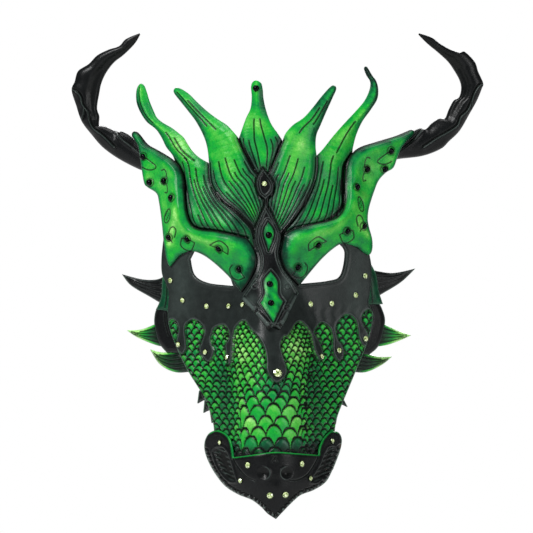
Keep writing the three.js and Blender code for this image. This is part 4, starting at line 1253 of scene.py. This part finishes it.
horn_edges = {
    "left": (
        [(-84, 66), (-89.5, 67), (-100, 72), (-108.5, 77), (-117, 83.5), (-124, 91.5), (-131.5, 101.5),
         (-135.5, 113), (-138.6, 123.5), (-136.5, 129.5), (-134, 137), (-126.5, 142), (-120.5, 148),
         (-112.5, 152), (-105, 154.5), (-100, 159.5), (-90.5, 163.5)],
        [(-84, 78), (-90, 84.5), (-96, 90.5), (-100, 93.2), (-103.5, 94.5), (-105.5, 94), (-115, 98),
         (-119, 98.8), (-119, 105), (-120.6, 111), (-119, 121.5), (-117.5, 128.5), (-114, 136),
         (-108.5, 143), (-101.5, 148.5), (-94, 156), (-90, 162.5)],
    ),
    "right": (
        [(86, 72), (90.5, 74.5), (109, 77), (122, 82), (128, 87.5), (135.5, 95), (142.5, 107), (147.5, 116),
         (151, 124.5), (152, 128.5), (148.5, 136.5), (146, 143.5), (139, 150.6), (135.5, 150), (128, 152.5),
         (121, 156.5), (115.5, 160.5), (106.5, 163.5)],
        [(88, 82), (94, 87), (99, 92), (103, 94.6), (107, 96.5), (111.5, 96.2), (115.5, 100), (121, 103.5),
         (125, 103.7), (127.5, 109.5), (131, 116), (135, 118.7), (136.4, 125), (135, 131), (131, 138),
         (127, 143.5), (120.5, 149.5), (112, 156.5), (106, 162.5)],
    ),
}


# Where the leather is folded over, from the bend down to the root
horn_folds = {
    "left": [
        [(-138.7, 124.5), (-134.5, 122), (-132, 118.5), (-131, 114), (-129.5, 111.5), (-126.5, 107.5),
         (-126, 102.5), (-123, 96.5), (-116.5, 91.5), (-108.5, 83.5)],
        [(-129.5, 111.5), (-129.8, 107), (-132, 102)],
        [(-107, 94), (-103.5, 89.5), (-96.5, 84), (-88, 77)],
    ],
    "right": [
        [(152, 128.5), (148.5, 126), (145.5, 121), (143.5, 115), (140.5, 109), (136, 104.5), (133.5, 98.5),
         (127, 94), (119, 89.5), (110, 83.5)],
        [(143.5, 115), (145, 109), (143.5, 106)],
        [(109, 96.3), (104, 90), (97, 84), (90, 79)],
    ],
}


def horn(side):
    rows = 460
    around = 110
    outer = spread(horn_edges[side][0], rows)
    inner = spread(horn_edges[side][1], rows)
    along = np.linspace(0, 1, rows)
    depth_middle = np.interp(along, [0, 0.12, 0.4, 0.7, 1], [62, 66, 71, 69, 58.5])
    depth_half = np.interp(along, [0, 0.12, 0.4, 0.7, 0.9, 1], [8, 7.5, 6.5, 5.5, 3, 0.6])
    angles = np.linspace(0, 2 * np.pi, around, endpoint=False)
    across = np.cos(angles)[None, :, None]
    flat = ((outer + inner)[:, None] + (inner - outer)[:, None] * across) / 2
    flat = flat.reshape(-1, 2)
    bulge = np.tile(np.sin(angles), rows)
    front = smooth(0, 0.25, bulge)
    folds = [spline(fold, LINE_SAMPLE) for fold in horn_folds[side]]
    along_fold = np.vstack([np.gradient(fold, axis=0) for fold in folds])
    folds = np.vstack(folds)
    to_fold, nearest_fold = nearest(flat, folds)
    away = flat - folds[nearest_fold]
    turn = along_fold[nearest_fold, 0] * away[:, 1] - along_fold[nearest_fold, 1] * away[:, 0]
    over = to_fold * np.sign(turn) * (1 if side == "left" else -1)
    share = np.repeat(along, around)
    hollow = 0.3 * hump(np.tile(np.cos(angles), rows) - 0.45, 0.35) * smooth(0.3, 0.5, share)
    crease = 1.3 * hump(over - 0.5, 0.7) - 0.8 * hump(over + 1.4, 1.2)
    thick = np.repeat(depth_half, around) * bulge * (1 - hollow * front) - crease * front
    spots = np.column_stack([flat[:, 0], np.repeat(depth_middle, around) - thick, flat[:, 1]])
    # Painted shadow beside each fold and painted shade in the hollow; painted highlights along the outline
    # and the folds' raised edges
    dark = front * (0.95 * hump(over - 0.7, 0.7) + 1.6 * hollow)
    rim = smooth(0.965, 0.995, np.abs(np.tile(np.cos(angles), rows)))
    light = 0.14 * rim + 0.2 * front * hump(over + 0.4, 0.28)
    faces = []
    for row in range(rows - 1):
        for k in range(around):
            beside = (k + 1) % around
            a = row * around
            b = a + around
            faces.append((a + k, b + k, b + beside, a + beside))
    faces.append(list(range(around)))
    faces.append([(rows - 1) * around + k for k in reversed(range(around))])
    if side == "right":
        faces = [tuple(reversed(face)) for face in faces]
    traces = {"dark": dark.clip(0, 1), "light": light, "paint": np.ones(len(spots)),
              "tone": np.full(len(spots), 0.5)}
    piece = make_mesh(f"{side}_horn", spots, faces, [paint], traces)
    return settle(piece, "mask", "horn_leather", f"{side}_horn")


for side in ("left", "right"):
    horn(side)


# Studs and crystals


def add_stud(name, surface, x, z, radius=2.3, height=1.9, nodes=()):
    at, normal = seat(surface, x, z)
    at = at - 0.5 * normal
    flange = [(radius, 0), (radius, 0.75)]
    dome = [(0.97 * radius * math.cos(a), 0.8 + height * math.sin(a)) for a in np.linspace(0, 1.5, 9)]
    lathe(name, [(flange + dome, stud_metal)], at, normal, "mask", "stud_metal", 28, nodes)


def add_crystal(name, surface, x, z, radius=2.1, nodes=()):
    """A faceted stone in a thin metal cup."""
    at, normal = seat(surface, x, z)
    at = at - 0.4 * normal
    cup = [(radius, 0), (radius * 1.04, 0.7), (radius, 1.1), (radius * 0.86, 1.15), (radius * 0.8, 0.8)]
    stone = [(radius * 0.84, 0.6), (radius * 0.84, 1.15), (radius * 0.5, 1.75)]
    lathe(name, [(cup, silver), (stone, glass)], at, normal, "mask", "crystal", 10, nodes, flat=True)


for side, places in brow_studs.items():
    for number, (x, z) in enumerate(places, 1):
        add_stud(f"{side}_brow_stud_{number}", f"{side}_brow", x, z, nodes=[f"{side}_brow_stud_{number}"])
centre_studs = [("crest_blade_3", -8, 123.5), ("upper_inset", 0.5, 21), ("lower_inset", 1.5, -13.5),
                ("lower_inset", 2, -26.5)]
for number, (surface, x, z) in enumerate(centre_studs, 1):
    add_stud(f"centre_stud_{number}", surface, x, z, 2.3, 1.8)

snout_crystals = [(-33, -124), (-18.5, -150), (-13.5, -139), (1.5, -160), (11.5, -159.5), (23, -138.5),
                  (29, -148.5), (44.5, -123)]
for number, (x, z) in enumerate(snout_crystals, 1):
    radius = 1.9 if number in (1, 2, 7, 8) else 2.4
    add_crystal(f"snout_crystal_{number}", "snout_plate", x, z, radius, [f"snout_crystal_{number}"])
add_crystal("almond_crystal", "nose_ornament", -2.5, 57, 2.0, ["almond_crystal"])
band_crystals = [(-68, -11), (-59.5, -25), (-42.5, -29), (-27, -29), (-17, -28), (68, -7.5), (61, -21),
                 (44.5, -27), (29.5, -27.5), (-62.5, -56), (-43, -61), (-27.5, -65), (68, -52), (49, -60),
                 (36.5, -64.5)]
for number, (x, z) in enumerate(band_crystals, 1):
    add_crystal(f"band_crystal_{number}", "face_shell", x, z)
add_crystal("nose_crystal", "face_shell", 6.5, -75.5, 3.4)


# Strap anchors and rivets


def strip(name, path, side, half_widths, skin, material, body, slot, nodes=(), holes=(), samples=15):
    """A flat strap along a path, with rounded edges. Holes are (start, end, half width) in millimetres."""
    path = np.asarray(path, float)
    side = np.asarray(side, float)
    tangents = np.gradient(path, axis=0)
    tangents /= np.linalg.norm(tangents, axis=1, keepdims=True)
    ups = np.cross(side, tangents)
    lengths = lengths_along(path)
    across = np.sin(np.linspace(-math.pi / 2, math.pi / 2, samples))
    rows = len(path)
    half = half_widths[:, None]
    rim = (1 - np.abs(across[None, :])) * half
    groove = 0.22 * hump(rim - 1.7, 0.45)
    stitch = 0.3 * hump(rim - 1.7, 0.4) * (np.sin(lengths * math.pi / 1.8) > -0.3)[:, None]
    thick = skin / 2 - 0.5 * smooth(0.9, 0, rim) - groove + stitch
    middle = path[:, None] + (across[None, :, None] * half[:, :, None]) * side
    top = middle + thick[:, :, None] * ups[:, None]
    bottom = middle - thick[:, :, None] * ups[:, None]
    cells = []
    for row in range(rows - 1):
        for k in range(samples - 1):
            away = abs(across[k] + across[k + 1]) / 2 * half_widths[row]
            if any(start < lengths[row] < end and away < width for start, end, width in holes):
                continue
            cells.append((row * samples + k, row * samples + k + 1, (row + 1) * samples + k + 1,
                          (row + 1) * samples + k))
    cells = np.array(cells)
    count = rows * samples
    walls = [(end, start, start + count, end + count) for start, end in open_edges(cells)]
    faces = cells.tolist() + walls + (cells[:, ::-1] + count).tolist()
    used = np.unique(np.concatenate([np.ravel(face) for face in faces]))
    renumber = np.full(2 * count, -1)
    renumber[used] = np.arange(len(used))
    vertices = np.vstack([top.reshape(-1, 3), bottom.reshape(-1, 3)])[used]
    piece = make_mesh(name, vertices, [renumber[list(face)] for face in faces], [material])
    return settle(piece, body, slot, *nodes)


def rounded_end(half, from_end):
    """A strap's half widths near an end that is rounded off."""
    share = np.minimum(from_end + 0.4, half) / half
    return half * np.sqrt(np.clip(1 - (1 - share) ** 2, 0.02, 1))


TAB_X = PIVOT_X + 3.0
TAB_SKIN = 2.4
TAB_HALF = 8
RIVET_HEAD = 4.6
for way, side in ((-1, "left"), (1, "right")):
    foot_y = float(front_y(np.array(70.0), np.array(14.0))) + LAYER + 1.2
    tab_path = [(way * 70.5, foot_y, PIVOT_Z), (way * 67, foot_y + 0.6, PIVOT_Z),
                (way * TAB_X, 39.5, PIVOT_Z),
                (way * TAB_X, 44, PIVOT_Z), (way * TAB_X, 50, PIVOT_Z), (way * TAB_X, 55, PIVOT_Z)]
    path = spline(tab_path, RIM_SAMPLE)
    to_tip = np.linspace(1, 0, len(path)) * RIM_SAMPLE * (len(path) - 1)
    widths = rounded_end(TAB_HALF, to_tip)
    strip(f"{side}_strap_anchor", path, (0, 0, 1), widths, TAB_SKIN, strap_hide, "mask", "black_leather",
          [f"{side}_strap_anchor"])
    start = PIVOT_X - STRAP_SKIN / 2 - 0.4 - 1.4
    reach = TAB_X + 1.2 + 0.4 - start
    dome = [(RIVET_HEAD * math.cos(a), reach + 1.6 * math.sin(a)) for a in np.linspace(0, 1.5, 7)]
    profile = [(RIVET_HEAD - 1, 0), (RIVET_HEAD, 0.4), (RIVET_HEAD, 1.1), (RIVET_HEAD - 0.4, 1.4), (2, 1.4),
               (2, reach)]
    lathe(f"{side}_strap_rivet", [(profile + dome, stud_metal)], (way * start, PIVOT_Y, PIVOT_Z), (way, 0, 0),
          "mask", "stud_metal", 28, [f"{side}_strap_rivet"])


# Head strap, buckle and keeper

HEEL_X = 11
FRONT_X = -11
FRONT_DEPTH = 3.6


def under(depth):
    return BASE_Z - depth


def strap_path(flat):
    curve = spline(flat, 0.45)
    return np.column_stack([curve[:, 0], np.full(len(curve), PIVOT_Y), curve[:, 1]])


right_leg = [(62, PIVOT_Z + 9), (62, PIVOT_Z - 20), (58, -45), (47, -73), (33, -86)]
left_leg = [(-x, z) for x, z in right_leg]
heel_loop = [(2, -3), (-0.5, -3), (-2.1, -2.1), (-3, 0), (-2.1, 2.1), (-0.5, 3), (2, 2.8)]
heel_turn = [(HEEL_X + x, under(depth)) for x, depth in heel_loop]


def end_widths(path, half, tip):
    """Half widths that round off the strap's first end, and its last where it has a free tip."""
    lengths = lengths_along(path)
    widths = rounded_end(half, lengths)
    if tip:
        widths = np.minimum(widths, rounded_end(half, lengths[-1] - lengths))
    return widths


def hole_span(path, x0, x1, low, high):
    """Where along the path it passes between x0 and x1, with z between low and high."""
    lengths = lengths_along(path)
    here = (path[:, 0] > x0) & (path[:, 0] < x1) & (path[:, 2] > low) & (path[:, 2] < high)
    return lengths[here].min(), lengths[here].max()


right_path = strap_path([*right_leg, (22, under(-3.2)), *heel_turn, (19, under(0.2))])
right_hole = (*hole_span(right_path, HEEL_X - 5, HEEL_X + 3.8, under(9), under(-5)), 2.3)
strip("right_strap", right_path, (0, 1, 0), end_widths(right_path, 9, False), STRAP_SKIN, strap_hide,
      "head_strap", "strap_leather", ["right_strap"], [right_hole], samples=25)
left_path = strap_path([*left_leg, (-22, under(-2.6)), (FRONT_X, under(0.2)), (0, under(3)),
                        (HEEL_X, under(5.8)), (20, under(4.6)), (34, -89.6), (44, -82)])
left_hole = (*hole_span(left_path, -7, HEEL_X, under(12), under(0)), 1.6)
strip("left_strap", left_path, (0, 1, 0), end_widths(left_path, 8.5, True), STRAP_SKIN, strap_hide,
      "head_strap", "strap_leather", ["left_strap"], [left_hole], samples=25)


def rounded_rectangle(half_wide, half_high, corner, steps=8):
    points = []
    for quarter, (sx, sy) in enumerate(((1, 1), (-1, 1), (-1, -1), (1, -1))):
        for k in range(steps + 1):
            angle = math.pi / 2 * (quarter + k / steps)
            points.append((sx * (half_wide - corner) + corner * math.cos(angle),
                           sy * (half_high - corner) + corner * math.sin(angle)))
    return points


tilt = math.atan2(FRONT_DEPTH, HEEL_X - FRONT_X)
frame_along = np.array([math.cos(tilt), 0, math.sin(tilt)])
frame_normal = np.array([-math.sin(tilt), 0, math.cos(tilt)])
frame_middle = np.array([(HEEL_X + FRONT_X) / 2, PIVOT_Y, under(FRONT_DEPTH / 2)])
frame_half = math.hypot(HEEL_X - FRONT_X, FRONT_DEPTH) / 2
ring = rounded_rectangle(frame_half, 11, 3)
frame_path = [frame_middle + u * frame_along + np.array([0, v, 0]) for u, v in ring]
sweep("buckle_frame", frame_path, frame_normal, round_section(1.45, 16), [buckle_metal], "head_strap",
      "buckle_metal", closed=True, nodes=["buckle_frame"])

PRONG_RADIUS = 0.8
turn_angles = np.linspace(math.radians(200), math.radians(-105), 26)
prong_turn = [(HEEL_X + 2.45 * math.cos(a), PIVOT_Y, under(0) + 2.45 * math.sin(a)) for a in turn_angles]
prong_reach = [(HEEL_X - 4, PIVOT_Y, under(3.2)), (HEEL_X - 12, PIVOT_Y, under(4.4)),
               (HEEL_X - 20, PIVOT_Y, under(5.7)), (HEEL_X - 24, PIVOT_Y, under(6.2))]
prong_path = spline(np.array(prong_turn + prong_reach), 0.5)
prong_sizes = np.interp(np.linspace(0, 1, len(prong_path)), [0, 0.8, 1], [1, 1, 0.55])
sweep("buckle_prong", prong_path, (0, 1, 0), round_section(PRONG_RADIUS, 12, 1.3), [buckle_metal], "prong",
      "buckle_metal", nodes=["buckle_prong"], scale=prong_sizes)

KEEPER_TILT = 0.36
keeper_up = np.array([-math.sin(KEEPER_TILT), 0, math.cos(KEEPER_TILT)])
keeper_side = np.array([math.cos(KEEPER_TILT), 0, math.sin(KEEPER_TILT)])
keeper_ring = rounded_rectangle(10.3, 5.3, 2.2)
keeper_path = [np.array([30, PIVOT_Y, -89.7]) + np.array([0, u, 0]) + v * keeper_up for u, v in keeper_ring]
keeper_section = rounded_rectangle(3, 0.85, 0.6, 4)
sweep("strap_keeper", keeper_path, keeper_side, keeper_section, [strap_hide], "head_strap", "strap_leather",
      closed=True, nodes=["strap_keeper"])


# Studio: floor, light and camera


def studio():
    floor_mesh = bpy.data.meshes.new("floor")
    size = 1.5
    height = -0.24
    corners = [(x * size, y * size, height) for x, y in ((-1, -1), (1, -1), (1, 1), (-1, 1))]
    floor_mesh.from_pydata(corners, [], [(0, 1, 2, 3)])
    floor = bpy.data.objects.new("floor", floor_mesh)
    bpy.context.scene.collection.objects.link(floor)
    s = Surface("pale_floor")
    colour = s.ramp(s.noise(20), [(0.3, (244, 244, 243)), (0.7, (250, 250, 250))])
    floor_mesh.materials.append(s.finish(colour, s.spread(s.noise(40), 0.75, 0.85)))
    world = bpy.data.worlds.new("studio")
    bpy.context.scene.world = world
    world.use_nodes = True
    nodes = world.node_tree.nodes
    links = world.node_tree.links
    seen = nodes["Background"]
    seen.inputs["Color"].default_value = (1, 1, 1, 1)
    seen.inputs["Strength"].default_value = 1.0
    fill = nodes.new("ShaderNodeBackground")
    fill.inputs["Color"].default_value = (1, 1, 1, 1)
    fill.inputs["Strength"].default_value = 0.15
    rays = nodes.new("ShaderNodeLightPath")
    mixer = nodes.new("ShaderNodeMixShader")
    links.new(rays.outputs["Is Camera Ray"], mixer.inputs["Fac"])
    links.new(fill.outputs["Background"], mixer.inputs[1])
    links.new(seen.outputs["Background"], mixer.inputs[2])
    links.new(mixer.outputs["Shader"], nodes["World Output"].inputs["Surface"])
    for name, place, size, power in (("key", (-0.9, -1.0, 1.2), 0.5, 40), ("fill", (1.4, -1.0, 0.3), 0.8, 13),
                                     ("top", (0.1, 0.3, 1.4), 0.8, 9), ("rear", (0.3, 2.7, 1.0), 1.2, 24)):
        lamp = bpy.data.lights.new(name, "AREA")
        lamp.shape = "DISK"
        lamp.size = size
        lamp.energy = power
        light = bpy.data.objects.new(name, lamp)
        light.location = place
        light.rotation_euler = Vector(place).to_track_quat("Z", "Y").to_euler()
        bpy.context.scene.collection.objects.link(light)
    lens = bpy.data.cameras.new("camera")
    lens.lens = 772
    lens.sensor_width = 36
    lens.clip_end = 100
    camera = bpy.data.objects.new("camera", lens)
    camera.location = (-0.001, -8, -0.001)
    camera.rotation_euler = (math.pi / 2, 0, 0)
    bpy.context.scene.collection.objects.link(camera)
    bpy.context.scene.camera = camera
    bpy.context.scene.view_settings.view_transform = "Standard"


studio()
